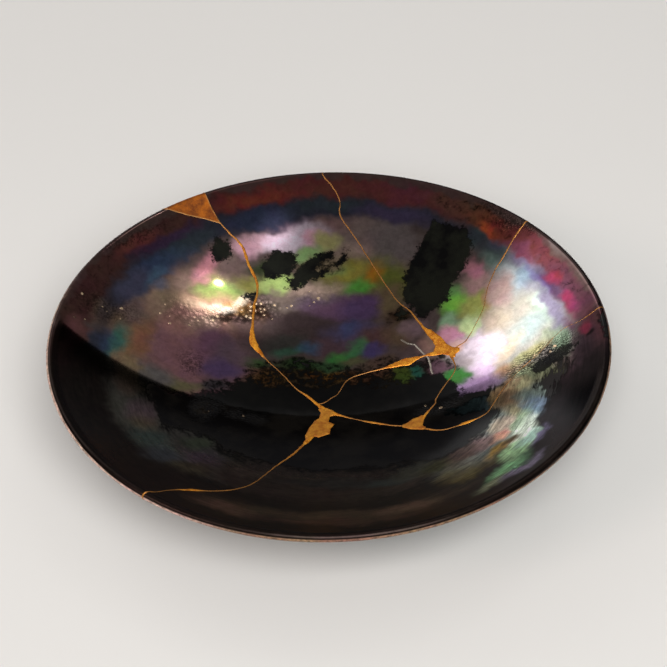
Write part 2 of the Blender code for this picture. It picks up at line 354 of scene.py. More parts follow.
@dataclass(frozen=True)
class DishSection:
    """The section that the dish is turned from: part of a sphere on a low foot ring."""

    rim_radius: float = 110.0
    height: float = 40.0
    depth: float = 32.0
    lip_wall: float = 3.4
    foot_wall: float = 5.0
    foot_radius: float = 38.0
    foot_width: float = 5.0
    foot_chamfer: float = 0.8
    foot_round: float = 0.24  # the chamfer's middle, in and up from the corner
    foot_land: float = 1.7  # from the foot's walls to the faces it stands on
    foot_flare: float = 1.5  # where the wall's curve ends, out from the foot
    foot_outer: tuple[Point, ...] = ((0.6, 4.75), (0.2, 4.3), (0.1, 2.6))  # out from the foot, height
    foot_inner: tuple[Point, ...] = ((0.2, 2.4), (0.5, 3.5), (1.3, 3.9))  # in from the foot, height
    recess_rise: float = 3.8
    recess_crown: float = 0.36  # how far the recess's ring stands above its edge and its middle
    recess_ring: float = 0.75  # that ring's radius as a share of the recess's
    warp: float = 0.35
    warp_turn: float = math.radians(30)
    inside_rings: int = 168
    outside_rings: int = 52
    lip_rings: int = 16
    steps: int = 960
    wedges: int = 32

    @property
    def lip_centre(self) -> float:
        """Radius of the circle that the lip's round runs along."""
        return self.rim_radius - self.lip_wall / 2

    @property
    def bowl_radius(self) -> float:
        """Radius of the sphere that the inside is part of."""
        middle = (self.lip_centre**2 + self.depth**2) / (2 * self.depth)
        return middle - self.lip_wall / 2

    @property
    def bowl_centre(self) -> float:
        """Height of that sphere's centre."""
        return self.height - self.depth + self.bowl_radius

    @property
    def lip_angle(self) -> float:
        """The lip's angle from straight down at the sphere's centre."""
        return math.asin(self.lip_centre / (self.bowl_radius + self.lip_wall / 2))

    def point(self, angle: float, offset: float) -> Point:
        """Radius and height at an angle from straight down and a distance outside the sphere."""
        reach = self.bowl_radius + offset
        return reach * math.sin(angle), self.bowl_centre - reach * math.cos(angle)

    def lip(self) -> list[Point]:
        """The lip's half circle.

        Returns:
            Points from its inner corner to its outer corner.
        """
        half = self.lip_wall / 2
        turns = [math.pi * i / self.lip_rings for i in range(self.lip_rings + 1)]
        return [
            self.point(self.lip_angle + half * math.sin(t) / self.bowl_radius, half * (1 - math.cos(t)))
            for t in turns
        ]

    def underside(self) -> list[Point]:
        """The outside.

        Returns:
            Points from below the lip down the wall and round the foot to the axis.
        """
        foot_angle = math.asin((self.foot_radius + self.foot_flare) / self.bowl_radius)
        points = []
        for i in range(1, self.outside_rings + 1):
            share = i / self.outside_rings
            angle = self.lip_angle + (foot_angle - self.lip_angle) * share
            points.append(self.point(angle, self.lip_wall + (self.foot_wall - self.lip_wall) * share))
        outer, inner = self.foot_radius, self.foot_radius - self.foot_width
        chamfer, middle, land = self.foot_chamfer, self.foot_round, self.foot_land
        points += [(outer + out, z) for out, z in self.foot_outer]
        points += [
            (outer, chamfer), (outer - middle, middle), (outer - chamfer, 0.0), (outer - land, 0.0),
            (inner + land, 0.0), (inner + chamfer, 0.0), (inner + middle, middle), (inner, chamfer),
        ]
        points += [(inner - back, z) for back, z in self.foot_inner]
        ring, crown = inner * self.recess_ring, self.recess_rise + self.recess_crown
        points += [(inner - (inner - ring) * s, self.recess_rise + (crown - self.recess_rise) * s)
                   for s in (0.4, 0.7, 1.0)]
        points += [(ring * (1 - s), crown + (self.recess_rise - crown) * s)
                   for s in (0.2, 0.4, 0.6, 0.8, 1.0)]
        return points

    def inside(self) -> list[Point]:
        """The inside, from the floor's middle up to the lip's inner corner, without that corner."""
        return [self.point(self.lip_angle * i / self.inside_rings, 0.0) for i in range(self.inside_rings)]

    def outline(self) -> list[Point]:
        """The whole section from the floor's middle over the lip to the underside's middle."""
        return self.inside() + self.lip() + self.underside()

    def warped(self, points: np.ndarray) -> np.ndarray:
        """Points moved as the rim is out of round, in three lobes.

        Args:
            points: Rows of x, y, z.

        Returns:
            The moved rows.
        """
        radius = np.hypot(points[:, 0], points[:, 1])
        lobes = np.cos(3 * (np.arctan2(points[:, 1], points[:, 0]) - self.warp_turn))
        spread = 1 + self.warp / self.rim_radius * lobes * (radius / self.rim_radius) ** 2
        return np.column_stack([points[:, 0] * spread, points[:, 1] * spread, points[:, 2]])

    def inwardness(self, points: np.ndarray) -> np.ndarray:
        """Which side of the wall each point is on.

        Args:
            points: Rows of x, y, z.

        Returns:
            1 on the inside's surface, 0 in the middle of the wall and -1 on the outside.
        """
        reach = np.sqrt(points[:, 0] ** 2 + points[:, 1] ** 2 + (points[:, 2] - self.bowl_centre) ** 2)
        middle = self.bowl_radius + self.lip_wall / 2
        return np.clip((middle - reach) / (self.lip_wall / 2), -1.0, 1.0)

    def inward(self, points: np.ndarray) -> np.ndarray:
        """The unit direction from each point to the sphere's centre."""
        away = np.array([0.0, 0.0, self.bowl_centre]) - points
        return away / np.linalg.norm(away, axis=1, keepdims=True)


# ---------------------------------------------------------------- the cracks

# Each seam is a chain of (x, y, width) on the plan. Ends beyond the rim run over the lip.
SEAMS: dict[str, tuple[Knot, ...]] = {
    "chip_near_edge": (
        (-71.0, 84.8, 0.7), (-59.9, 84.4, 0.7), (-51.9, 84.4, 0.7), (-45.2, 83.8, 0.8),
    ),
    "chip_far_edge": (
        (-52.9, 97.6, 0.7), (-50.9, 93.6, 0.7), (-48.4, 88.7, 0.7), (-45.2, 83.8, 0.8),
    ),
    "chip_to_middle": (
        (-45.2, 83.8, 0.8), (-41.4, 80.2, 1.1), (-37.3, 76.7, 1.3), (-34.9, 72.9, 1.4),
        (-33.2, 67.1, 1.5), (-31.1, 62.6, 1.4), (-29.6, 58.2, 1.3), (-29.6, 52.7, 1.2),
        (-30.7, 47.6, 1.4), (-31.3, 38.6, 1.3), (-31.5, 32.1, 2.1), (-31.1, 28.1, 3.0),
        (-29.0, 23.9, 2.1), (-24.6, 17.8, 0.8), (-19.3, 11.4, 0.7), (-13.6, 3.2, 0.9),
        (-8.9, -1.5, 1.3), (-5.2, -6.2, 1.6), (-1.4, -10.9, 2.6),
    ),
    "middle_to_near_left_rim": (
        (-1.4, -10.9, 2.4), (-4.0, -18.0, 2.4), (-7.8, -27.0, 2.4), (-11.3, -33.7, 1.3),
        (-14.8, -39.4, 1.2), (-20.1, -46.9, 0.9), (-23.1, -51.8, 0.7), (-27.8, -60.4, 0.7),
        (-31.6, -65.7, 0.7), (-37.5, -70.4, 0.8), (-44.4, -73.5, 0.7), (-51.1, -75.3, 1.6),
        (-57.6, -78.6, 0.7), (-63.0, -84.0, 0.7), (-67.3, -86.6, 1.0), (-71.5, -92.5, 1.0),
    ),
    "middle_to_right_corner": (
        (-1.4, -10.9, 2.4), (3.1, -13.1, 1.6), (7.5, -15.4, 0.9), (11.4, -17.2, 0.7),
        (16.0, -19.2, 1.4), (23.0, -22.2, 1.0), (27.0, -23.5, 0.9), (33.3, -25.4, 1.3),
    ),
    "right_corner_to_rim": (
        (33.3, -25.4, 1.3), (38.4, -28.7, 1.0), (40.9, -30.1, 1.0), (43.9, -30.6, 0.8),
        (48.4, -30.1, 0.8), (52.0, -29.3, 1.6), (57.1, -27.9, 0.9), (60.7, -26.0, 0.7),
        (62.9, -22.4, 0.7), (68.2, -13.3, 0.5), (72.2, -8.4, 0.4), (76.4, -4.3, 0.3),
        (82.7, 0.2, 0.3), (90.3, 7.0, 0.3), (94.4, 9.1, 0.4), (98.9, 9.0, 0.5),
        (103.0, 10.0, 0.6), (107.8, 11.5, 0.7), (115.0, 12.0, 0.7),
    ),
    "far_rim_to_star": (
        (-1.6, 114.0, 0.7), (-0.8, 107.1, 0.7), (3.2, 102.3, 0.7), (6.1, 96.6, 0.7),
        (6.1, 90.5, 0.8), (10.2, 83.7, 0.7), (15.5, 74.6, 0.7), (25.0, 55.8, 0.7),
        (29.3, 47.6, 0.7), (34.1, 41.8, 0.9), (37.1, 36.1, 1.2), (39.7, 31.3, 1.6),
        (42.3, 27.5, 3.0), (45.3, 21.6, 3.4), (48.8, 16.6, 2.6),
    ),
    "far_right_rim_to_star": (
        (88.5, 73.4, 0.9), (80.1, 65.6, 0.9), (77.6, 62.6, 0.9), (72.9, 56.0, 0.9),
        (70.2, 52.7, 0.8), (66.0, 43.7, 0.5), (64.2, 35.8, 0.3), (60.6, 28.3, 0.4),
        (57.4, 22.5, 0.6), (54.8, 19.3, 0.8), (48.8, 16.6, 1.0),
    ),
    "star_to_middle": (
        (48.8, 16.6, 2.4), (41.4, 16.9, 2.1), (38.4, 16.6, 1.0), (34.9, 15.9, 2.1),
        (32.2, 14.9, 4.2), (29.6, 14.7, 3.4), (26.5, 13.9, 2.6), (22.5, 12.9, 1.3),
        (14.3, 11.0, 0.7), (7.3, 7.8, 0.7), (3.3, 0.0, 0.5), (0.9, -2.4, 0.6),
        (-2.4, -5.4, 0.7), (-5.2, -6.2, 0.9),
    ),
    "star_to_right_corner": (
        (48.8, 16.6, 2.1), (50.6, 8.0, 0.8), (50.3, 4.9, 0.7), (48.9, 1.8, 0.7),
        (46.7, -1.3, 0.7), (42.1, -9.4, 0.8), (41.4, -12.6, 0.8), (37.9, -17.7, 1.3),
        (33.3, -25.4, 2.6),
    ),
}

# Where chips of the edges are lost, the lacquer fills a whole patch.
PATCHES: dict[str, tuple[Point, ...]] = {
    "middle": (
        (-4.9, -9.1), (-3.9, -11.7), (-4.5, -15.0), (-6.2, -16.6), (-8.5, -21.4), (-10.1, -26.5),
        (-9.8, -29.7), (-8.4, -29.9), (-6.3, -26.9), (-4.9, -27.6), (-0.4, -25.2), (-0.1, -22.2),
        (1.5, -19.0), (-0.8, -17.4), (-0.2, -14.2), (1.9, -13.3), (1.5, -10.6), (-1.4, -8.6),
    ),
    "right_corner": (
        (28.0, -23.1), (29.8, -22.3), (32.2, -20.1), (34.3, -19.5), (35.8, -18.5), (36.9, -19.6),
        (35.9, -25.4), (37.1, -26.9), (36.2, -28.1), (31.0, -26.6), (28.0, -24.6),
    ),
    "star": (
        (40.2, 30.3), (41.9, 30.5), (46.1, 25.2), (48.1, 20.8), (50.2, 18.5), (53.1, 17.1),
        (52.9, 15.3), (51.3, 14.1), (51.1, 12.5), (49.8, 12.7), (48.5, 14.1), (44.9, 16.3),
        (42.9, 15.9), (42.5, 18.2), (43.5, 21.4), (42.3, 25.5),
    ),
}

# How thickly each patch was dusted, as the width of a joint that is dusted alike.
DUSTED: dict[str, float] = {"middle": 1.4, "right_corner": 1.4, "star": 3.0}

JUNCTIONS: tuple[Point, ...] = (
    (-45.2, 83.8), (-1.4, -10.9), (33.3, -25.4), (48.8, 16.6), (-5.2, -6.2),
)

# A point on the plan inside each loose piece, which gives the piece its name.
SHERDS: dict[str, Point] = {
    "sherd_left": (-62.0, -10.0),
    "sherd_top": (-10.0, 60.0),
    "sherd_upper_right": (52.0, 60.0),
    "sherd_right": (75.0, 12.0),
    "sherd_front": (20.0, -60.0),
    "sherd_inner": (25.0, -3.0),
    "rim_chip_fill": (-54.0, 89.5),
}


def headings(line: Sequence[Knot]) -> list[Point]:
    """The unit direction of a chain at each of its points.

    Args:
        line: The chain's points, with x and y first.

    Returns:
        The x and y parts of each direction.
    """
    found = []
    for before, after in zip([line[0], *line[:-1]], [*line[1:], line[-1]]):
        length = math.hypot(after[0] - before[0], after[1] - before[1])
        found.append(((after[0] - before[0]) / length, (after[1] - before[1]) / length))
    return found


@dataclass
class CrackNetwork:
    """The cracks on the plan, with the small wander of a real break."""

    step: float = 0.9
    wander: float = 0.16
    waves: tuple[Knot, ...] = ((0.33, 1.0, 0.0), (0.9, 0.6, 5.0))  # the wander's pitch, share and shift
    swell: float = 0.22
    calm: float = 4.0  # how near a junction the wander dies away
    kerf: float = 0.16
    overshoot: float = 0.2
    bottom: float = -6.0
    top: float = 52.0
    stagger: float = 0.7  # between the ends of one cut and the next, so that no two lie in one plane
    lines: dict[str, list[Knot]] = field(default_factory=dict)

    def __post_init__(self) -> None:
        """Work out the fine chains."""
        for order, (name, chain) in enumerate(SEAMS.items()):
            self.lines[name] = self.uneven(self.fine_chain(chain), order)

    def fine_chain(self, chain: Sequence[Knot]) -> list[Knot]:
        """A smooth curve through the chain's points.

        Args:
            chain: The coarse points and widths.

        Returns:
            Points and widths about a step apart.
        """
        ends = [tuple(2 * a - b for a, b in zip(chain[0], chain[1])),
                tuple(2 * a - b for a, b in zip(chain[-1], chain[-2]))]
        knots = np.array([ends[0], *chain, ends[1]])
        fine: list[Knot] = []
        for i in range(1, len(knots) - 2):
            before, start, end, after = knots[i - 1:i + 3]
            count = max(2, round(math.dist(start[:2], end[:2]) / self.step))
            for j in range(count):
                t = j / count
                bend = ((2 * start) + (end - before) * t
                        + (2 * before - 5 * start + 4 * end - after) * t * t
                        + (3 * start - before - 3 * end + after) * t**3) / 2
                fine.append(tuple(bend))
        fine.append(tuple(knots[-2]))
        return fine

    def uneven(self, fine: Sequence[Knot], order: int) -> list[Knot]:
        """Give a fine chain its wander and its uneven width.

        Args:
            fine: The chain's points and widths.
            order: The seam's number, which picks its own row of the noise.

        Returns:
            The moved points and their widths.
        """
        moved = []
        for i, ((x, y, width), (dx, dy)) in enumerate(zip(fine, headings(fine))):
            calm = min(1.0, min(math.dist((x, y), pin) for pin in JUNCTIONS) / self.calm)
            shift = self.wander * calm * sum(share * noise.noise((i * pitch, order * 7.1, start))
                                             for pitch, share, start in self.waves)
            swell = 1 + self.swell * noise.noise((i * 0.45, order * 3.3, 9.0))
            moved.append((x - dy * shift, y + dx * shift, width * swell))
        return moved

    def ribbon(self, line: Sequence[Knot]) -> list[Point]:
        """The outline of a narrow cut along a line, a little longer than it at both ends.

        Args:
            line: The line's points and widths.

        Returns:
            The outline's corners.
        """
        left, right = [], []
        last = len(line) - 1
        for i, ((x, y, _), (dx, dy)) in enumerate(zip(line, headings(line))):
            ahead = self.overshoot * ((i == last) - (i == 0))
            x, y = x + dx * ahead, y + dy * ahead
            left.append((x - dy * self.kerf / 2, y + dx * self.kerf / 2))
            right.append((x + dy * self.kerf / 2, y - dx * self.kerf / 2))
        return left + right[::-1]

    def cutter(self) -> bpy.types.Object:
        """All cuts as one branching upright wall.

        Returns:
            A working object.
        """
        walls = []
        for order, (name, line) in enumerate(self.lines.items()):
            bottom, top = self.bottom - self.stagger * order, self.top + self.stagger * order
            bm = bmesh.new()
            corners = [bm.verts.new((x * MM, y * MM, bottom * MM)) for x, y in self.ribbon(line)]
            wall = bmesh.ops.extrude_face_region(bm, geom=[bm.faces.new(corners)])
            raised = [part for part in wall["geom"] if isinstance(part, bmesh.types.BMVert)]
            bmesh.ops.translate(bm, verts=raised, vec=(0.0, 0.0, (top - bottom) * MM))
            bmesh.ops.recalc_face_normals(bm, faces=bm.faces)
            bmesh.ops.triangulate(bm, faces=bm.faces)
            walls.append(new_object(f"cut_{name}", mesh_of(bm, f"cut_{name}")))
        for wall in walls[1:]:
            combine(walls[0], wall, "UNION", "EXACT")
        return walls[0]


# ---------------------------------------------------------------- the glaze

class Lay(Enum):
    """How a zone lies on the plan."""

    SPOT = "spot"  # an ellipse about a point
    ARC = "arc"  # part of a ring about the dish's middle


@dataclass(frozen=True)
class Zone:
    """A soft-edged part of the dish's plan.

    A spot has its middle at (x, y) and half-lengths (a, b), with a turned by turn degrees from +X.
    An arc has its middle at (radius, azimuth) and half-widths (millimetres, degrees).
    """

    at: Point
    size: Point
    turn: float = 0.0
    strength: float = 1.0
    soft: float = 0.6
    lay: Lay = Lay.SPOT

    def mask(self, x: np.ndarray, y: np.ndarray) -> np.ndarray:
        """How fully each plan point lies in the zone.

        Args:
            x: Plan x of each point, in millimetres.
            y: Plan y of each point.

        Returns:
            Values from 0 to the zone's strength.
        """
        if self.lay is Lay.SPOT:
            turn = math.radians(self.turn)
            dx, dy = x - self.at[0], y - self.at[1]
            along = dx * math.cos(turn) + dy * math.sin(turn)
            across = dy * math.cos(turn) - dx * math.sin(turn)
        else:
            along = np.hypot(x, y) - self.at[0]
            across = (np.degrees(np.arctan2(y, x)) - self.at[1] + 180) % 360 - 180
        away = np.hypot(along / self.size[0], across / self.size[1])
        return self.strength * (1 - smoothstep(1 - self.soft, 1 + self.soft, away))


@dataclass(frozen=True)
class Lustre:
    """A zone's metal: its colour, and how much of the glaze it covers. A cover of 0 bares the glaze."""

    colour: str
    zone: Zone
    cover: float = 1.0


def spot(colour: str, x: float, y: float, a: float, b: float, turn: float = 0.0, cover: float = 1.0,
         **more: float) -> Lustre:
    """Lustre in an ellipse about (x, y)."""
    return Lustre(colour, Zone((x, y), (a, b), turn, **more), cover)


def arc(colour: str, radius: float, azimuth: float, wide: float, degrees: float, cover: float = 1.0,
        **more: float) -> Lustre:
    """Lustre in part of a ring."""
    return Lustre(colour, Zone((radius, azimuth), (wide, degrees), lay=Lay.ARC, **more), cover)


# Each region's lustre, from its widest tone to its smallest fleck; later ones lie over earlier ones. A few
# near-white spots are painted highlights and sheen.
FAR_FIELD = (
    spot("#6A5856", 0, 68, 150, 54, soft=0.12),
    spot("#86706C", -70, 17, 37, 18, soft=0.3),
    spot("#8A8078", 77, 16, 26, 26, soft=0.25),
)
FAR_LUSTRE_AND_HIGHLIGHT = (
    spot("#8A7470", 12, 78, 30, 11, -8),
    spot("#9A8494", -11, 88, 13, 3.6, 4),
    spot("#7A6D6B", 30, 76, 11, 12),
    spot("#5A4C48", 41, 81, 7, 6),
    spot("#8E706A", 2, 87, 8, 4),
    # Painted highlight: this pale pink-white spot traces a lamp's reflection on the far wall.
    spot("#FFE8F6", -17.5, 79.8, 15, 5.0, 14, soft=0.5),
    spot("#F4B8C8", -6.5, 80.0, 5, 3, 20),
    spot("#F0B8C4", -33, 75.5, 7.5, 4.4, 42),
    spot("#C2BA7C", 0, 79, 5.5, 3),
    spot("#A7CC84", -9, 73.6, 7.5, 3, 15),
    spot("#B4988B", 11, 73, 8, 5),
    spot("#8F8A48", 17, 61, 18, 8.5, -8),
    spot("#B0A64C", 9, 65.6, 8, 3.8),
    spot("#C4862E", 21.5, 62.5, 5.5, 4.4),
    spot("#727A3A", 29, 58, 5, 9, 22),
    spot("#66B84E", 13.5, 57, 5.6, 4.2, strength=0.85),
    spot("#9AB060", 2.5, 67, 5, 3),
    spot("#8C7E5C", -46, 56, 14, 6.5, 12),
    spot("#86A254", -45, 49.8, 9, 4.6, 8),
    spot("#A09C54", -33, 56.5, 5, 4),
    spot("#D4F090", -20.5, 58.0, 8.5, 3.8, 12),
    spot("#D8B8A6", -7, 55.2, 13, 4, 12),
    spot("#D8909A", -50, 62, 7, 4.5, 48),
    spot("#9C7C76", -41, 65, 5, 5),
    spot("#846C68", -40, 64.5, 6, 7, cover=0.85),
    spot("#38462A", -27.5, 64, 4.5, 4.5, strength=0.9),
    spot("#8C7C62", -3, 68.5, 11, 5.5, 20, cover=0.5),
    spot("#8E7468", -61, 54, 5, 8, -30),
)
SPARKLE_AND_HIGHLIGHT_BAND = (
    spot("#AC826C", -51, 42, 19, 7, 10),
    spot("#CC985E", -38, 43.2, 11, 3.6, 14),
    # Painted highlight: these near-white spots trace the white curve of the lamp's reflection below its hot
    # spot.
    spot("#FFF4E4", -51, 43.2, 5.5, 2.2, -6, soft=0.5),
    spot("#FFF0DC", -44, 41.8, 4.8, 2.2, 8, soft=0.5),
    spot("#ECD4B8", -37.4, 47.4, 5, 2, 52, soft=0.5),
    spot("#F4C4A8", -54, 41, 8, 5),
    spot("#6A4A2C", -29.5, 42, 4.5, 5),
)
MIDDLE_FIELD = (
    spot("#544444", -8, 35, 26, 13),
    spot("#A08C80", -19, 50, 10, 4, 10),
    spot("#8A7484", -4, 51, 12, 3.4, 8),
    spot("#7C5A76", 6, 47.5, 15, 5),
    spot("#68507C", 13, 45, 9, 5.5, strength=0.8),
    spot("#665A7A", 10, 34, 12, 6),
    spot("#4E5C90", 8, 37, 5, 3.4, strength=0.5),
    spot("#7F6A50", 27, 49, 6, 8),
    spot("#4D3B2D", 31, 40.5, 5, 5, cover=0.6),
    spot("#6E504E", 20, 30, 8, 5),
    spot("#7A604E", 29, 30, 6, 6),
    spot("#9A7C80", 35, 32, 4.5, 4),
    spot("#4C4844", -19, 27, 9, 5),
    spot("#6A5058", 0, 27, 10, 4),
    spot("#46705A", -17, 22.8, 6, 3, 12, strength=0.75),
    spot("#466E8A", -8.5, 25.6, 5, 3, strength=0.65),
    spot("#52A048", 5, 21.6, 5.4, 3, 30, strength=0.75),
    spot("#509A60", 11.5, 26, 5, 3, 35, strength=0.65),
    spot("#5C4E90", 17.5, 23.6, 4.6, 3, strength=0.7),
    spot("#6E6A4D", 10, 19.5, 5, 3, cover=0.85),
    spot("#3F6638", -29.5, 16.6, 5, 3.6, cover=0.8),
    spot("#AC8578", 42, 23, 4.5, 5),
)
TORN_STRIP = (
    spot("#4A3C2A", -12, 8, 26, 8, cover=0.34),
    spot("#6A4C2C", -26, 8.6, 8, 4.5, cover=0.42),
    spot("#7E5228", -1, 10.5, 9, 3.4, cover=0.4),
    spot("#36482C", -9, 16, 12, 3.4, cover=0.52),
    spot("#42593A", 2, 16.6, 6, 3, cover=0.6),
    spot("#68482E", 14, 8.6, 9, 4.4, cover=0.36),
    spot("#5E4432", 20, 10, 8, 3, cover=0.45),
    spot("#6A5548", 21, 16.5, 8, 3.4, cover=0.66),
    spot("#3E3022", 24, 3, 12, 4, cover=0.26),
    spot("#4E5A26", 30, 8.4, 3.6, 5, cover=0.7),
    spot("#2C5C4C", 36.2, 8.2, 3.2, 4, cover=0.7),
    spot("#3A2C2A", 42, 9, 4, 6, cover=0.55),
)
LEFT_LUSTRE = (
    spot("#A4747A", -57, 18, 20, 20),
    spot("#C28F84", -61, 33, 10, 7),
    spot("#CAA894", -50, 33, 7.5, 5),
    spot("#8D6A5B", -41.5, 33, 5.5, 5.5),
    spot("#5C4644", -34.5, 35, 6.5, 4.5),
    spot("#8A6074", -47, 24, 8, 8),
    spot("#775F6C", -40, 20, 7, 8),
    spot("#6C547A", -43, 11, 8, 6),
    spot("#4C4448", -46, 1, 8, 4, cover=0.6),
    spot("#B0805C", -77, 19, 4.4, 22, -8, strength=0.9),
    spot("#4E8A7A", -84, 12, 4.2, 12, -12, strength=0.9),
    spot("#465874", -91, 9, 6.5, 9),
    spot("#94765E", -92, 28, 12, 8.5, 15),
    spot("#54484E", -90, 40, 8, 6, 20),
    spot("#8D746E", -79, 34, 6, 8),
    spot("#746B78", -79.5, 42.5, 6, 5),
    spot("#BC9C84", -69.5, 41, 5, 8, -20),
    spot("#8C8898", -70, 49.5, 4.2, 4),
    spot("#857C5A", -60, -1, 8, 4, cover=0.9),
    spot("#7C7472", -70, 1, 6, 5),
    spot("#B08C68", -79.5, 2, 3.6, 5),
    spot("#726C61", -91, -1, 8, 4),
)
RIGHT_LUSTRE = (
    spot("#B8B2A8", 76, 26, 16, 37, -10, soft=0.35),
    spot("#B4AA9C", 74, 26, 8, 12, -20, strength=0.7),
    spot("#F0C8DC", 64, 10, 7, 8, strength=0.7),
    spot("#BCC2C4", 78, 48, 11, 10, -35),
    spot("#A2B6A4", 86, 22, 5, 10, 12, strength=0.8),
    spot("#DCF0DC", 86, 29, 4, 6, 15),
    spot("#A8B4B0", 79, 16, 6, 6),
    spot("#8CB86A", 50, 46, 5, 6),
    spot("#9CE45C", 51, 40, 5.6, 4.8),
    spot("#B3B864", 60, 37.5, 6, 7),
    spot("#C89C98", 60.5, 50, 5, 8, -25),
    spot("#B48458", 65, 40, 2.2, 9, -12, strength=0.7),
    spot("#DE92A4", 60, 56.5, 3.4, 4),
    spot("#788C82", 69, 61, 5, 6),
    spot("#566A64", 62, 71, 5, 5),
    spot("#6A6C80", 72, 66, 4, 4),
    spot("#B0C8DC", 83.5, 46, 5, 6, -38),
    spot("#A496B4", 79.5, 54, 5.5, 3.2, -38),
    spot("#D8B4AC", 70, 41, 5, 8),
    arc("#887F94", 92.5, 14, 3.6, 12),
    spot("#A9CCA0", 50, 31.5, 4, 4),
    spot("#FFB0C8", 50.5, 25, 4.6, 4.4),
    spot("#F0DCE8", 60, 17.5, 8, 6),
    spot("#E4D4E0", 61, 8, 6, 6),
    spot("#B4A4A8", 55, 8.5, 3.2, 4),
    spot("#FFD0C0", 52, 18.5, 3.2, 3),
    spot("#C8B4A0", 66.5, 28, 5, 6),
    spot("#E8FFB8", 57.5, 27.5, 3.2, 5, -10),
    spot("#DCC8AC", 71.5, 9, 3.2, 8, -30, strength=0.8),
    spot("#FFDCFF", 60.5, 1.5, 4, 4),
    spot("#785868", 46, 8, 4, 5, cover=0.85),
    spot("#4C8C44", 51.5, 1, 4.4, 4.2),
    spot("#D0A8D6", 58.5, -6.5, 8.5, 4.6),
    spot("#C8A07C", 71.5, -3, 6, 4),
    spot("#C4BC84", 80, 1.5, 7, 3, 25, cover=0.9),
    spot("#98AC90", 90.5, 3, 3.6, 6),
    spot("#7C5C68", 95.5, 9, 3, 3.6, cover=0.9),
    spot("#A8C48C", 86.5, 8, 3, 2, 25, strength=0.3),
    spot("#B47C44", 74.5, -8.5, 6, 2.2, 35, cover=0.8),
)
RIM_RINGS = (
    arc("#583A36", 103.5, 108, 6.5, 104, soft=0.25, cover=0.8),
    arc("#3C3C48", 94.0, 104, 5.0, 70, soft=0.5),
    arc("#743C3A", 102.5, 94, 4.2, 24),
    arc("#903C38", 100.5, 107, 3.4, 9),
    arc("#743C42", 102.0, 68, 4.2, 11),
    arc("#6C483C", 104.0, 54, 5.0, 10, cover=0.7),
    arc("#8A4438", 101.5, 44, 3.6, 9, cover=0.8),
    arc("#D0583C", 99.5, 47, 2.0, 3, cover=0.8),
    arc("#743C40", 103.5, 31, 4.0, 10, cover=0.8),
    arc("#5E3844", 103.0, 17, 4.0, 10, cover=0.75),
    arc("#6A4048", 104.0, 2, 4.5, 9),
    arc("#6A5560", 100.0, -9, 6.5, 11, cover=0.85),
    arc("#7D4241", 102.5, 141, 3.0, 6),
    arc("#8B595A", 101.0, 175, 3.4, 5),
    arc("#3F464C", 95.5, 90, 3.2, 9),
    arc("#504660", 92.5, 72, 4.0, 9),
    arc("#40465E", 92.5, 108, 4.0, 8),
    arc("#3C444A", 93.0, 129, 4.0, 8),
    arc("#44506E", 91.0, 143, 5.0, 10),
    arc("#66809C", 88.5, 144, 2.2, 5, strength=0.6),
    arc("#5C5A72", 92.5, 151, 4.0, 6),
    arc("#463450", 99.0, 134, 2.2, 10, strength=0.8),
    arc("#563E56", 98.0, 21, 2.6, 10),
    arc("#644A80", 95.5, 25, 1.8, 7, strength=0.6),
    arc("#5E4A46", 107.6, 92, 1.8, 80, strength=0.8, soft=0.4),
    arc("#80465C", 98.5, 35.5, 2.4, 5),
    spot("#A8445A", 101.5, 4.8, 2.4, 3.6),
    spot("#8A3A54", 98.0, 20, 2.6, 6),
    spot("#8C3450", 97.0, 25.0, 2.4, 2.8),
    spot("#863440", 93, 38, 2.4, 5, 30),
    spot("#2A1A1C", 103.3, 0.4, 1.6, 1.2),
)
NEAR_LEFT_LUSTRE = (
    arc("#3C322A", 96, 215, 14, 40, strength=0.9, soft=0.3),
    arc("#8A8676", 80, 201, 8, 20, cover=0.95),
    arc("#BCA08A", 80, 187, 4.5, 5),
    spot("#A8908E", -72.5, -25, 4.4, 7),
    spot("#A49276", -71, -33, 4.4, 6),
    spot("#76887C", -68, -43, 9, 7),
    spot("#6A7074", -64, -52, 8, 6, cover=0.9),
    spot("#7A746A", -50, -46, 20, 8, -58, cover=0.9),
    spot("#80886C", -51, -39, 5, 5),
    spot("#84707E", -50, -48, 7, 6),
    spot("#6E6550", -52, -57, 8, 5, cover=0.8),
    spot("#0B0A09", -64.5, -20, 10, 3.2, -60, cover=0.0),
    spot("#6E6052", -33, -54, 12, 5, -25, cover=0.8),
    spot("#8A7A68", -49.5, -15.5, 4, 4.5, cover=0.3),
    spot("#46585A", 57, -20, 10, 4.5, cover=0.85),
    spot("#0B0A09", 46, -33, 18, 6, 20, cover=0.0),
)
NEAR_RING_LUSTRE = (
    arc("#2E2822", 94, 270, 15.5, 50, strength=0.9, soft=0.3),
    arc("#5A4E44", 57, 262, 5, 34, cover=0.8),
    arc("#4C4038", 70, 266, 8, 40, cover=0.85),
    arc("#6A5A48", 90.5, 270, 4.5, 26),
    arc("#8A7060", 95, 246, 4, 7),
    arc("#8C7260", 92, 286, 4, 7),
    arc("#70584A", 97.5, 272, 3, 18, cover=0.85),
    spot("#44423E", 6, -62, 24, 4, 0, cover=0.8),
    spot("#4C5450", 20, -63, 8, 3, 15, cover=0.9),
    spot("#4C4C40", 31, -57, 9, 5, 20),
    spot("#46442A", 41, -57, 8, 5, 25),
    spot("#886F55", 51, -57, 7, 4.5, 30),
    spot("#6A5E32", 49, -65, 9, 4.5, 30),
    spot("#504628", 60, -58, 6, 6, 40),
)
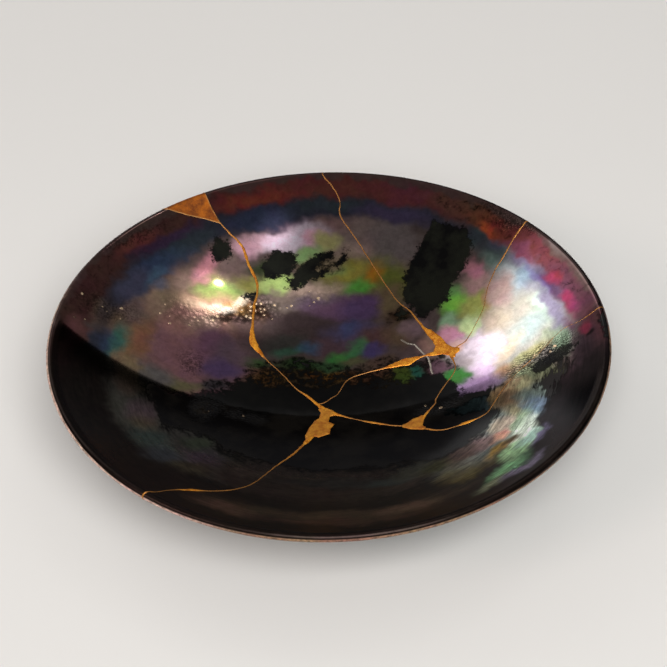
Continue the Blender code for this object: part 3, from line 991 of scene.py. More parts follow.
NEAR_RIGHT_LUSTRE_AND_SHEEN = (
    arc("#181114", 101, -30, 12, 30, soft=0.3),
    arc("#78807A", 77.5, -28, 7, 24),
    spot("#A0A884", 80.5, -11, 7, 5, cover=0.9),
    spot("#FCD8A4", 71.5, -15, 5.5, 4),
    spot("#D0D0A0", 76, -16.5, 4, 3.5),
    spot("#E0B480", 66, -18, 4, 4),
    spot("#A8906C", 69, -22, 6, 5),
    spot("#74867E", 78, -23, 4.5, 5),
    spot("#948E6C", 71, -30, 4.5, 5),
    spot("#66788A", 77.5, -31, 4, 7, 8),
    spot("#7C6462", 56.5, -46.5, 7, 3.6, 45, cover=0.85),
    spot("#5E4C44", 48.5, -51, 6, 4, 40, cover=0.85),
    spot("#8CA484", 70.5, -38, 8, 3.4, 60),
    # Painted sheen: this near-white spot sits on the peak of a lamp's sheen low on the right.
    spot("#F2FFEA", 71.5, -45.5, 9, 4.2, 58),
    spot("#AC9C88", 64.5, -37, 6, 3.2, 55),
    spot("#D09880", 62.5, -44.5, 4.5, 2.4, 50),
    spot("#A07C40", 62.8, -53.5, 6, 2.6, 48),
    spot("#B4DCA4", 69, -58, 8, 3.4, 55),
    spot("#B8DCCC", 72.5, -52.5, 6, 2.4, 58),
    spot("#7C7494", 76.5, -53.5, 7, 1.8, 58, strength=0.8),
    spot("#8CC490", 62.5, -72.5, 10, 3.4, 48),
    spot("#A0AC8C", 58.5, -80, 8, 3.0, 42, cover=0.95),
    spot("#8C849C", 69.5, -73, 9, 2.4, 47),
    spot("#5C4A30", 66, -50.5, 4, 1.6, 50),
)
LUSTRE: tuple[Lustre, ...] = (
    *FAR_FIELD, *FAR_LUSTRE_AND_HIGHLIGHT, *SPARKLE_AND_HIGHLIGHT_BAND, *MIDDLE_FIELD, *TORN_STRIP, *LEFT_LUSTRE, *RIGHT_LUSTRE,
    *RIM_RINGS, *NEAR_LEFT_LUSTRE, *NEAR_RING_LUSTRE, *NEAR_RIGHT_LUSTRE_AND_SHEEN,
)

# Where fine pits and grains break the gloss, and where the lustre lies in turning streaks.
GRAINS: tuple[Zone, ...] = (
    Zone((-42, 43), (15, 4), 14, 0.25),
    Zone((-90, 29), (13, 6), 10, 0.6),
    Zone((-55, 13), (6, 7), 0, 0.6),
    Zone((-49.5, -15.5), (6, 6), 0, 1.0),
    Zone((-33, -16), (8, 4), 0, 0.7),
    Zone((84, -3), (12, 5), 20, 1.0),
    Zone((42, -16), (10, 4), 25, 0.6),
    Zone((-80, 68), (16, 2.5), 45, 0.6),
    Zone((76, 74), (16, 3), -45, 0.7),
)
STREAKS: tuple[Zone, ...] = (
    Zone((86, 325), (30, 38), lay=Lay.ARC, soft=0.3),
    Zone((86, 240), (32, 62), lay=Lay.ARC, strength=0.55, soft=0.3),
)
# Where painted glints lie: bright cream dots on the pits' domes, with painted shade darkening the ground
# between them.
PAINTED_GLINTS: tuple[Zone, ...] = (
    Zone((-42, 38.6), (14, 3.2), 12, 1.0, 0.6),
    Zone((-30, 45.5), (8, 4.6), 18, 1.0, 0.6),
    Zone((-8, 53), (12, 3), 12, 0.3, 0.8),
    Zone((-60, 37), (9, 6), 0, 0.4, 0.8),
    Zone((-90, 28), (13, 8), 10, 0.16, 0.6),
    Zone((-49.5, -15.5), (5, 5), 0, 0.3),
    Zone((-34, -15), (8, 4), 0, 0.14),
    Zone((82, -3), (12, 3), 25, 0.3),
    Zone((44, -14), (7, 5), 25, 0.15),
    Zone((-55, 13), (5, 5), 0, 0.22),
)
# Where the gloss is hazy, so that what it mirrors is blurred.
HAZY: tuple[Zone, ...] = (
    Zone((88, 270), (34, 62), lay=Lay.ARC, soft=0.2),
)
# Where the bare glaze is dulled by a dark scorched film.
SCORCHED: tuple[Zone, ...] = (
    Zone((2, 1), (62, 14), 0, 1.0, 0.3),
)

BARE: dict[str, tuple[Point, ...]] = {
    "seam_band": (
        (79.5, -6.0), (86.0, -2.0), (93.5, 0.0), (97.5, -2.5), (92.0, -8.0), (84.0, -11.0), (80.0, -11.0),
    ),
    "right_patch": (
        (46.1, 82.5), (59.3, 74.9), (61.7, 67.2), (60.6, 62.5), (51.4, 49.3), (50.3, 43.6),
        (44.0, 40.1), (39.2, 36.6), (31.8, 47.5), (31.9, 58.4), (37.9, 70.0), (41.6, 76.5),
    ),
    "left_patch": (
        (-49.5, 71.0), (-46.5, 77.0), (-41.0, 76.0), (-40.5, 70.5), (-42.5, 67.5), (-45.5, 66.0),
        (-48.0, 67.0),
    ),
    "middle_patch": (
        (-28.0, 68.0), (-22.0, 74.8), (-12.7, 73.9), (-12.7, 68.8), (-16.0, 63.6), (-19.0, 62.4),
        (-26.5, 61.0),
    ),
    "torn_patch": (
        (-17.6, 57.4), (-13.0, 66.0), (-8.5, 70.6), (-3.0, 73.2), (2.5, 74.8), (3.0, 72.0), (-2.0, 69.5),
        (-4.5, 65.6), (1.0, 66.6), (0.0, 64.0), (-7.5, 60.6), (-13.0, 56.2),
    ),
    "torn_tip": (
        (2.0, 67.5), (5.5, 71.5), (8.5, 75.8), (9.0, 72.0), (7.0, 69.0), (4.5, 66.8),
    ),
    "seam_smudge": (
        (27.5, 40.5), (30.5, 44.5), (33.5, 42.0), (31.5, 38.0),
    ),
    "band_smudge": (
        (-36.0, 50.8), (-34.5, 53.4), (-30.2, 53.2), (-29.8, 49.8), (-33.0, 49.6),
    ),
}

# A crack that was left ungilded, as (x, y) on the plan.
HAIRLINE: tuple[Point, ...] = (
    (29.8, 27.5), (32.2, 24.9), (35.3, 23.6), (36.4, 21.3), (38.2, 18.5), (40.2, 15.1),
    (40.8, 11.1), (41.0, 7.5), (41.5, 5.5),
)


@dataclass
class LustreMap:
    """Where the kiln's smoke left metal on the glaze, and in which colour.

    Headings are degrees round the plan from +X. A side is 1 on the inside's surface and -1 on the
    outside's. A pair of pairs is where something comes and where it goes.
    """

    section: DishSection
    drift: float = 3.4
    waves: tuple[Point, ...] = ((16.0, 1.0), (5.5, 0.5), (2.3, 0.3))  # the drift's sizes and shares
    near: tuple[Point, Point] = ((190.0, 240.0), (320.0, 355.0))  # headings of the near side
    near_reach: float = 0.8  # how much farther over the near lip the inside's lustre goes
    lip_reach: float = 0.6  # and how much farther down its outside the lip's metal goes
    inner: Point = (0.35, 0.75)  # sides between which the outside turns to the inside
    smoke: str = "#3A3034"
    smoke_size: float = 24.0
    smoke_share: Point = (0.05, 0.5)  # values of the noise between which a cloud thickens
    smoke_rise: Point = (60.0, 96.0)  # radii over which the outside's clouds come
    smoke_cover: float = 0.75
    lip_far: str = "#5E4A46"
    # The pale left and near tones are partly the thin-glazed lip's own and partly a painted highlight line;
    # the near round's dark tone is painted shade.
    lip_left_tone_and_highlight: str = "#EAC6B4"
    lip_near_tone_and_highlight: str = "#9C7860"
    lip_round_shade: str = "#2A221F"
    lip_cover: Knot = (0.7, 0.3, 1.6)  # the lip's cover, how far it swings and over what size
    lip_grain: float = 0.4
    left: tuple[Point, Point] = ((150.0, 180.0), (235.0, 262.0))  # headings of the left lip
    lip_sides: tuple[Point, Point] = ((-0.7, -0.55), (0.36, 0.5))
    lip_rise: Point = (36.45, 36.85)
    front: tuple[Point, Point] = ((165.0, 195.0), (340.0, 358.0))  # headings of the near lip's round
    front_sides: Point = (-0.7, -0.5)
    front_rise: Point = (38.2, 38.9)
    haze_rise: Point = (36.5, 36.9)
    haze_sides: Point = (0.5, 0.9)
    round_haze: float = 0.8
    far: float = 6.0  # the longest distance stored
    least_cover: float = 0.004  # below it the lustre's colour fades with its cover

    def drifted(self, points: np.ndarray) -> tuple[np.ndarray, np.ndarray]:
        """Plan coordinates with a slow drift, so that no zone has a drawn edge.

        Args:
            points: Rows of x, y, z.

        Returns:
            The moved x and y.
        """
        moved = []
        for axis in (0, 1):
            shift = sum(share * soft_noise(points, size, 3.7 + 17.6 * axis + size)
                        for size, share in self.waves)
            moved.append(points[:, axis] + self.drift * shift)
        return moved[0], moved[1]

    def metal(self, x: np.ndarray, y: np.ndarray) -> np.ndarray:
        """The inside's lustre.

        Args:
            x: Drifted plan x of each point.
            y: Drifted plan y of each point.

        Returns:
            Rows of linear red, green, blue and cover.
        """
        rows = np.zeros((len(x), 4))
        for lustre in LUSTRE:
            tone = np.array(linear(lustre.colour, lustre.cover))
            tone[:3] *= lustre.cover
            rows = mixed(rows, tone, lustre.zone.mask(x, y))
        rows[:, :3] /= np.maximum(rows[:, 3:], self.least_cover)
        return rows

    def clouds(self, points: np.ndarray) -> np.ndarray:
        """The outside's lustre: only thin smoky clouds near the rim.

        Args:
            points: Rows of x, y, z.

        Returns:
            Rows of linear red, green, blue and cover.
        """
        radius = np.hypot(points[:, 0], points[:, 1])
        cloud = smoothstep(*self.smoke_share, soft_noise(points, self.smoke_size, 51.0))
        cloud = cloud * smoothstep(*self.smoke_rise, radius)
        colour = np.tile(linear(self.smoke)[:3], (len(points), 1))
        return np.column_stack([colour, self.smoke_cover * cloud])

    def edge(self, points: np.ndarray, heading: np.ndarray) -> np.ndarray:
        """The pale metal that the lip takes where the glaze runs thin over it; its pale tones also paint a
        highlight line along the lip.

        Args:
            points: Rows of x, y, z.
            heading: Degrees round the plan of each.

        Returns:
            Rows of linear red, green, blue and cover.
        """
        far, left, near = (np.array(linear(code)) for code in (self.lip_far, self.lip_left_tone_and_highlight, self.lip_near_tone_and_highlight))
        rows = mixed(far, left, between(*self.left, heading))
        rows = mixed(rows, near, smoothstep(*self.left[1], heading))
        cover, swing, size = self.lip_cover
        rows[:, 3] = cover + swing * soft_noise(points, size, 71.0)
        return rows

    def paint(self, mesh: bpy.types.Mesh) -> None:
        """Store the map on a mesh as attributes that the glaze's nodes read.

        Args:
            mesh: A sherd's mesh, inside and outside in one.
        """
        points = points_of(mesh)
        flat_x, flat_y, height = points.T
        x, y = self.drifted(points)
        side = self.section.inwardness(points)
        heading = np.degrees(np.arctan2(flat_y, flat_x)) % 360
        near = between(*self.near, heading)
        reach = self.near_reach * near
        inner = smoothstep(self.inner[0] - reach, self.inner[1] - reach, side)
        rows = mixed(self.clouds(points), self.metal(x, y), inner)
        # The near lip's inner round is painted dark brown, a painted shade that keeps it dark; the lip itself
        # is paler, partly its thin glaze's tone and partly a painted highlight line.
        front = between(*self.front, heading) * smoothstep(*self.front_rise, height)
        front = front * smoothstep(*self.front_sides, side)
        rows = mixed(rows, np.array(linear(self.lip_round_shade)), front)
        (low, high), (close, end) = self.lip_sides
        under = self.lip_reach * near
        lip = between((low - under, high - under), (close - reach, end - reach), side)
        lip = lip * smoothstep(*self.lip_rise, height)
        rows = mixed(rows, self.edge(points, heading), lip)
        layer = mesh.attributes.new("lustre", "FLOAT_COLOR", "POINT")
        layer.data.foreach_set("color", rows.astype(np.float32).ravel())

        zones = {"grain": GRAINS, "streak": STREAKS, "painted_glint": PAINTED_GLINTS, "scorch": SCORCHED, "haze": HAZY}
        shares = {name: self.strongest(parts, x, y) * inner for name, parts in zones.items()}
        rounded = smoothstep(*self.haze_rise, height) * (1 - smoothstep(*self.haze_sides, side))
        shares["grain"] = np.maximum(shares["grain"], self.lip_grain * lip)
        shares["haze"] = np.maximum.reduce([shares["haze"], self.round_haze * rounded, front])
        shares["lip"] = lip
        bare = np.minimum.reduce([signed_distance(flat_x, flat_y, outline) for outline in BARE.values()])
        distances = {"bare": bare, "hairline": chain_distance(flat_x, flat_y, HAIRLINE)}
        for name, away in distances.items():
            shares[name] = np.where(side > 0, np.clip(away, -self.far, self.far), self.far)
        for name, values in shares.items():
            layer = mesh.attributes.new(name, "FLOAT", "POINT")
            layer.data.foreach_set("value", values.astype(np.float32))

    def strongest(self, zones: Iterable[Zone], x: np.ndarray, y: np.ndarray) -> np.ndarray:
        """The largest of the zones' masks at each plan point."""
        return np.maximum.reduce([zone.mask(x, y) for zone in zones])


@dataclass(frozen=True)
class LustreGlaze:
    """Black iron glaze, fired glossy, with a thin metallic lustre left by a smoky kiln.

    To the eye it is a black mirror where bare, and a dark coloured metal where the lustre lies,
    torn to flecks at its edges, drawn out in turning streaks low in the dish and sandy with fine
    pits in places.
    """

    black: str = "#050404"
    film: str = "#0E0C0A"
    patch_film: str = "#181912"
    crack: str = "#CFC4B4"
    # Painted glint colour: the cream of the bright dots on the beads.
    painted_glint: str = "#FFDCB4"
    fleck: float = 2.8  # mm, the flecks of torn lustre
    ragged: float = 2.6  # mm, the bays of a bare patch's edge
    grain: float = 0.62  # mm, drawn about twice as coarse as the real pits so that they show
    bead: float = 1.9  # mm, likewise drawn coarser
    jolt: float = 0.8  # mm, the size of the bends that make a bead's outline uneven
    jolt_reach: float = 0.7  # mm, how far they move it
    streak_long: float = 11.0  # mm, at the streak radius
    streak_radius: float = 75.0  # mm
    streak_fine: float = 1.9  # mm
    cloud: float = 13.0  # mm, slow shifts of hue
    relief: float = 0.08  # mm, the height of a bead
    gloss: float = 0.045  # the bare glaze's roughness
    ior: float = 1.33  # thin and smoky: a weaker mirror than a clear glaze

    def make(self) -> bpy.types.Material:
        """Write the glaze.

        Returns:
            The material.
        """
        recipe = Recipe(bpy.data.materials.new("reduced_lustre_glaze"))
        add = recipe.add
        smooth = {"interpolation_type": "SMOOTHSTEP"}
        lustre = add("Attribute", attribute_name="lustre").outputs
        bare, grain, streak, hairline, painted_glint, haze, scorch, lip = (
            add("Attribute", attribute_name=name).outputs["Fac"]
            for name in ("bare", "grain", "streak", "hairline", "painted_glint", "haze", "scorch", "lip")
        )
        place = add("TexCoord").outputs["Object"]

        # Coordinates that run round the dish: long along the turning, short across it.
        flat = add("VectorMath", place, (1.0, 1.0, 0.0), operation="MULTIPLY")
        radius = add("VectorMath", flat, operation="LENGTH")
        heading = add("VectorMath", flat, operation="NORMALIZE")
        around = add("VectorMath", heading, (self.streak_radius / self.streak_long,) * 3,
                     operation="MULTIPLY")
        across = add("Math", radius, 1 / (self.streak_fine * MM), operation="MULTIPLY")
        turning = add("VectorMath", around, add("CombineXYZ", at={2: across}), operation="ADD")
        wisps = add("TexNoise", at={"Vector": turning, "Scale": 1.0, "Detail": 4.0, "Roughness": 0.64,
                                 "Distortion": 1.1})
        flecks = add("TexNoise", at={"Vector": place, "Scale": 1 / (self.fleck * MM), "Detail": 5.0,
                                  "Roughness": 0.66, "Distortion": 0.5})
        torn = add("Mix", at={0: streak, 2: flecks, 3: wisps}, data_type="FLOAT")

        # Lustre cover: partial cover breaks into flecks or wisps, less where it is hazy.
        share = lustre["Alpha"]
        open_share = add("Math", 1.0, share, operation="SUBTRACT")
        partial = add("Math", share, open_share, operation="MULTIPLY")
        calm = add("Math", haze, -5.5, 9.0, operation="MULTIPLY_ADD")
        centred = add("Math", torn, 0.5, operation="SUBTRACT")
        shift = add("Math", centred, calm, operation="MULTIPLY")
        amount = add("Math", partial, shift, share, operation="MULTIPLY_ADD")
        low = add("Math", haze, -0.2, 0.22, operation="MULTIPLY_ADD")
        high = add("Math", haze, 0.2, 0.8, operation="MULTIPLY_ADD")
        cover = add("MapRange", amount, low, high, **smooth)
        bays = add("TexNoise", at={"Vector": place, "Scale": 1 / (self.ragged * MM), "Detail": 7.0,
                                "Roughness": 0.74})
        fray = add("Math", bays, 11.0, -5.5, operation="MULTIPLY_ADD")
        edge = add("Math", bare, fray, operation="ADD")
        whole = add("MapRange", edge, -0.7, 0.8, **smooth)
        metal = add("Math", cover, whole, operation="MULTIPLY")

        # The lustre's colour: slow shifts of hue, and light and dark streaks.
        slow = add("TexNoise", at={"Vector": place, "Scale": 1 / (self.cloud * MM), "Detail": 3.0,
                                "Roughness": 0.6})
        hue = add("MapRange", slow, 0.3, 0.7, 0.48, 0.52)
        swing = add("MapRange", wisps, 0.3, 0.7, -0.6, 0.7)
        drawn = add("Math", swing, streak, 1.0, operation="MULTIPLY_ADD")
        sand = add("MapRange", flecks, 0.35, 0.65, 0.84, 1.14)
        value = add("Math", drawn, sand, operation="MULTIPLY")
        tinted = add("HueSaturation", at={"Hue": hue, "Value": value, "Color": lustre["Color"]})

        # The pits: small cells, each with its own depth.
        cells = add("TexVoronoi", at={"Vector": place, "Scale": 1 / (self.grain * MM)}, feature="SMOOTH_F1")
        pit = add("MapRange", cells, 0.15, 0.75)
        dark = add("MapRange", cells.outputs["Color"], 0.3, 0.62)
        spared = add("Math", dark, 0.85, operation="MULTIPLY")
        sooty = add("Math", spared, grain, operation="MULTIPLY")
        clean = add("Math", 1.0, sooty, operation="SUBTRACT")
        plain = add("Math", metal, clean, operation="MULTIPLY")

        # The beads: some pits' domes get painted glints, bright cream dots, and the ground between them is
        # darkened with painted shade.
        jolt = add("TexNoise", at={"Vector": place, "Scale": 1 / (self.jolt * MM), "Detail": 1.0})
        askew = add("VectorMath", jolt.outputs["Color"], (self.jolt_reach * MM,) * 3, place,
                    operation="MULTIPLY_ADD")
        beads = add("TexVoronoi", at={"Vector": askew, "Scale": 1 / (self.bead * MM)})
        gap = add("MapRange", beads, 0.3, 0.66, 0.0, -0.85)
        bead_gap_shade = add("Math", painted_glint, gap, 1.0, operation="MULTIPLY_ADD")
        ground = add("HueSaturation", at={"Value": bead_gap_shade, "Color": tinted})
        chance = add("SeparateColor", beads.outputs["Color"]).outputs
        small = add("Math", chance[1], 0.3, 0.04, operation="MULTIPLY_ADD")
        large = add("Math", small, 0.2, operation="ADD")
        odds = add("Math", painted_glint, 0.6, operation="MULTIPLY")
        chosen = add("Math", chance[0], odds, operation="LESS_THAN")
        dome = add("MapRange", beads, small, large, 1.0, 0.0, **smooth)
        lit = add("Math", chosen, dome, operation="MULTIPLY")
        glinted = add("Mix", at={0: lit, 6: ground, 7: linear(self.painted_glint)}, data_type="RGBA")
        shown = add("Math", plain, lit, operation="MAXIMUM")

        # The glaze under the lustre, with a faint film, and the ungilded crack over everything.
        clouded = add("MapRange", slow, 0.42, 0.62)
        glaze = add("Mix", at={0: clouded, 6: linear(self.black), 7: linear(self.film)}, data_type="RGBA")
        inside = add("MapRange", edge, -0.4, 0.6, 1.0, 0.0)
        filmed = add("Math", inside, clouded, operation="MULTIPLY")
        under = add("Mix", at={0: filmed, 6: glaze, 7: linear(self.patch_film)}, data_type="RGBA")
        base = add("Mix", at={0: shown, 6: under, 7: glinted}, data_type="RGBA")
        crack = add("MapRange", hairline, 0.16, 0.5, 1.0, 0.0, **smooth)
        colour = add("Mix", at={0: crack, 6: base, 7: linear(self.crack)}, data_type="RGBA")

        # Bare patches keep a thin scorched film, which dims the gloss; deep bare glaze has none.
        film = add("MapRange", edge, -0.2, 0.25, 0.55, 0.0)
        scorched = add("Math", scorch, 0.72, film, operation="MULTIPLY_ADD")
        dulled = add("Math", scorched, 0.8, operation="MINIMUM")
        # Thin lustre mirrors as metal does, only less: its colour fades to black, not its metal.
        thin = add("MapRange", shown, 0.0, 0.08, **smooth)
        shiny = add("Math", thin, dulled, operation="MAXIMUM")
        # The lip is made mostly not metal, so its pale tone shows under any lamp as a painted highlight line.
        dry = add("Math", lip, -0.75, 1.0, operation="MULTIPLY_ADD")
        metallic = add("Math", shiny, dry, operation="MULTIPLY")
        roughness: Any = self.gloss
        rougher = ((grain, 0.1), (painted_glint, 0.2), (haze, 0.26), (streak, 0.05), (lip, 0.3), (crack, 0.4))
        for part, more in rougher:
            roughness = add("Math", part, more, roughness, operation="MULTIPLY_ADD")

        # Relief too fine for the mesh: pits where sandy, faint turning ridges where streaked.
        ridges = add("Math", wisps, streak, operation="MULTIPLY")
        pitted = add("Math", pit, grain, operation="MULTIPLY")
        hump = add("MapRange", beads, 0.0, 0.75, 1.0, 0.0, **smooth)
        humps = add("Math", hump, painted_glint, operation="MULTIPLY")
        bump: dict[str, Any] = {}
        for part, strength, deep in ((ridges, 0.12, 0.05), (pitted, 0.7, 0.09), (humps, 0.5, self.relief),
                                     (lit, 0.4, self.relief)):
            bump = {"Normal": add("Bump", at={"Height": part, "Strength": strength, "Distance": deep * MM,
                                              **bump})}
        shader = add("BsdfPrincipled", at={"Base Color": colour, "Metallic": metallic, "Roughness": roughness,
                                        "IOR": self.ior, **bump})
        return recipe.finish(shader)


@dataclass(frozen=True)
class FootClay:
    """Iron-bearing stoneware, fired unglazed: the foot is a dry dark brown and slightly sandy."""

    brown: str = "#4E372A"
    dark: str = "#35261E"
    grit: float = 0.7  # mm
    relief: float = 0.12  # mm
    roughness: float = 0.85

    def make(self) -> bpy.types.Material:
        """Write the clay.

        Returns:
            The material.
        """
        recipe = Recipe(bpy.data.materials.new("unglazed_stoneware"))
        add = recipe.add
        place = add("TexCoord").outputs["Object"]
        grit = add("TexNoise", at={"Vector": place, "Scale": 1 / (self.grit * MM), "Detail": 5.0})
        tone = add("Mix", at={0: grit, 6: linear(self.dark), 7: linear(self.brown)}, data_type="RGBA")
        bump = add("Bump", at={"Height": grit, "Strength": 0.5, "Distance": self.relief * MM})
        return recipe.finish(add("BsdfPrincipled", at={
            "Base Color": tone, "Roughness": self.roughness, "Normal": bump,
        }))


@dataclass(frozen=True)
class GoldPowder:
    """Gold powder dusted on raised lacquer and lightly burnished.

    To the eye it is a soft orange gold, brighter where rubbed, with the red lacquer showing
    through thin places.
    """

    name: str = "gold_powder_on_lacquer"
    gold: str = "#EAA02C"
    worn: str = "#B4620A"
    thin: str = "#946430"
    fullest: bool = False  # whether every part of the piece is fully dusted
    metallic: float = 0.6  # loose powder shows the lacquer between its grains
    roughness: float = 0.46
    wear: float = 0.5
    mottle: float = 2.4  # mm
    powder: float = 0.3  # mm, drawn coarser than real gold powder so that its glitter shows
    relief: float = 0.08  # mm

    def make(self) -> bpy.types.Material:
        """Write the gold.

        Returns:
            The material.
        """
        recipe = Recipe(bpy.data.materials.new(self.name))
        add = recipe.add
        place = add("TexCoord").outputs["Object"]
        mottle = add("TexNoise", at={"Vector": place, "Scale": 1 / (self.mottle * MM), "Detail": 5.0,
                                  "Roughness": 0.65})
        powder = add("TexNoise", at={"Vector": place, "Scale": 1 / (self.powder * MM), "Detail": 2.0})
        fine = add("Math", powder, 0.25, operation="MULTIPLY")
        both = add("Math", mottle, 0.75, fine, operation="MULTIPLY_ADD")
        worn = add("MapRange", both, self.wear - 0.1, self.wear + 0.1)
        colour = add("Mix", at={0: worn, 6: linear(self.worn), 7: linear(self.gold)}, data_type="RGBA")
        if not self.fullest:
            full = add("Attribute", attribute_name="fullness").outputs["Fac"]
            colour = add("Mix", at={0: full, 6: linear(self.thin), 7: colour}, data_type="RGBA")
        dull = add("MapRange", powder, 0.3, 0.7, self.roughness - 0.1, self.roughness + 0.12)
        bump = add("Bump", at={"Height": both, "Strength": 0.5, "Distance": self.relief * MM})
        return recipe.finish(add("BsdfPrincipled", at={
            "Base Color": colour, "Metallic": self.metallic, "Roughness": dull, "Normal": bump,
        }))


# ---------------------------------------------------------------- the sherds

@dataclass
class GlazeRelief:
    """The glazed surface's small unevenness, as lifts in millimetres towards the dish's inside."""

    section: DishSection
    sway: float = 0.008
    sway_size: float = 26.0
    ring: float = 0.0012
    ring_pitch: float = 7.0
    ring_size: float = 40.0  # the size of the rings' waver
    blister: Point = (54.0, 85.7)
    blister_rise: float = 0.3
    blister_radius: float = 2.0
    crater: Point = (67.0, -72.5)
    crater_depth: float = 0.25
    crater_sides: Point = (0.2, 1.3)  # radii between which its wall rises
    crater_rim: Knot = (0.12, 1.5, 0.6)  # its rim's height, radius and width
    foot_reach: Point = (36.0, 44.0)  # radii over which the outside's unevenness comes

    def lift(self, points: np.ndarray) -> np.ndarray:
        """How far each surface point stands proud of the turned shape.

        Args:
            points: Rows of x, y, z.

        Returns:
            Millimetres for each row.
        """
        radius = np.hypot(points[:, 0], points[:, 1])
        waver = 1.5 * soft_noise(points, self.ring_size)
        rings = np.sin(2 * math.pi * radius / self.ring_pitch + waver)
        lift = self.sway * soft_noise(points, self.sway_size) + self.ring * rings
        blister = np.hypot(*(points[:, :2] - self.blister).T)
        lift += self.blister_rise * (1 - smoothstep(0.0, self.blister_radius, blister))
        crater = np.hypot(*(points[:, :2] - self.crater).T)
        rise, middle, width = self.crater_rim
        lift += rise * np.exp(-((crater - middle) / width) ** 2)
        return lift - self.crater_depth * (1 - smoothstep(*self.crater_sides, crater))

    def raise_surface(self, mesh: bpy.types.Mesh) -> None:
        """Move the mesh's surface by the lift, inwards on the inside and outwards outside.

        Args:
            mesh: The whole dish's mesh.
        """
        points = points_of(mesh)
        side = self.section.inwardness(points)
        outside = smoothstep(*self.foot_reach, np.hypot(points[:, 0], points[:, 1]))
        amount = self.lift(points) * side * np.where(side < 0, outside, 1.0)
        set_points(mesh, points + self.section.inward(points) * amount[:, None])


@dataclass
class Sherds:
    """The six sherds and the rim fill, cut from one turned dish."""

    section: DishSection
    cracks: CrackNetwork
    relief: GlazeRelief
    lustre: LustreMap
    glaze: LustreGlaze = LustreGlaze()
    clay: FootClay = FootClay()
    merge: float = 0.002
    clay_top: float = 1.4
    clay_ring: Point = (32.0, 38.5)  # radii of the foot that the glaze was wiped from
    pieces: dict[str, bpy.types.Object] = field(default_factory=dict)

    def turned(self) -> bpy.types.Object:
        """The whole dish: a narrow wedge spun from its section, then copied round.

        Returns:
            A working object.
        """
        bm = bmesh.new()
        rims = [bm.verts.new((r * MM, 0.0, z * MM)) for r, z in self.section.outline()]
        edges = [bm.edges.new(pair) for pair in zip(rims, rims[1:])]
        wedge = 2 * math.pi / self.section.wedges
        bmesh.ops.spin(bm, geom=rims + edges, cent=(0, 0, 0), axis=(0, 0, 1), angle=wedge,
                       steps=self.section.steps // self.section.wedges)
        copies = 1
        while copies < self.section.wedges:
            more = min(copies, self.section.wedges - copies)
            twin = bmesh.ops.duplicate(bm, geom=[*bm.verts, *bm.edges, *bm.faces])
            verts = [part for part in twin["geom"] if isinstance(part, bmesh.types.BMVert)]
            bmesh.ops.rotate(bm, verts=verts, cent=(0, 0, 0), matrix=Matrix.Rotation(wedge * more, 3, "Z"))
            copies += more
        bmesh.ops.remove_doubles(bm, verts=bm.verts, dist=self.merge * MM)
        bmesh.ops.recalc_face_normals(bm, faces=bm.faces)
        mesh = mesh_of(bm, "turned_dish")
        set_points(mesh, self.section.warped(points_of(mesh)))
        return new_object("turned_dish", mesh)

    def part(self, dish: bpy.types.Object) -> None:
        """Separate the cut dish into its loose pieces, each named by the plan point it holds.

        Args:
            dish: The cut dish, which becomes one of the pieces.
        """
        for obj in bpy.context.selected_objects:
            obj.select_set(False)
        dish.select_set(True)
        bpy.context.view_layer.objects.active = dish
        bpy.ops.mesh.separate(type="LOOSE")
        for obj in list(bpy.context.selected_objects):
            middle = points_of(obj.data).mean(axis=0)[:2]
            name = min(SHERDS, key=lambda key: math.dist(SHERDS[key], middle))
            obj.name = name + "_glazed" if name != "rim_chip_fill" else "rim_chip_fill_gold"
            self.pieces[name] = obj

    def bare_foot(self, mesh: bpy.types.Mesh) -> None:
        """Give the faces that the glaze was wiped from the second material.

        Args:
            mesh: A sherd's mesh.
        """
        middles = np.empty(len(mesh.polygons) * 3, np.float32)
        mesh.polygons.foreach_get("center", middles)
        x, y, z = middles.reshape(-1, 3).T / MM
        radius = np.hypot(x, y)
        foot = (z < self.clay_top) & (radius < self.clay_ring[1]) & (radius > self.clay_ring[0])
        mesh.polygons.foreach_set("material_index", foot.astype(np.int32))

    def build(self) -> bpy.types.Object:
        """Turn, roughen, cut and part the dish, and dress its sherds.

        Returns:
            The uncut dish, a working object that the gold is laid on.
        """
        dish = self.turned()
        self.relief.raise_surface(dish.data)
        whole = new_object("uncut_dish", dish.data.copy())
        combine(dish, self.cracks.cutter(), "DIFFERENCE", "MANIFOLD")
        self.part(dish)
        glaze, clay = self.glaze.make(), self.clay.make()
        for name, obj in self.pieces.items():
            finish_mesh(obj)
            if name == "rim_chip_fill":
                continue
            self.lustre.paint(obj.data)
            dress(obj, glaze, clay)
            self.bare_foot(obj.data)
            stand_for(obj, name)
        return whole


# ---------------------------------------------------------------- the gold

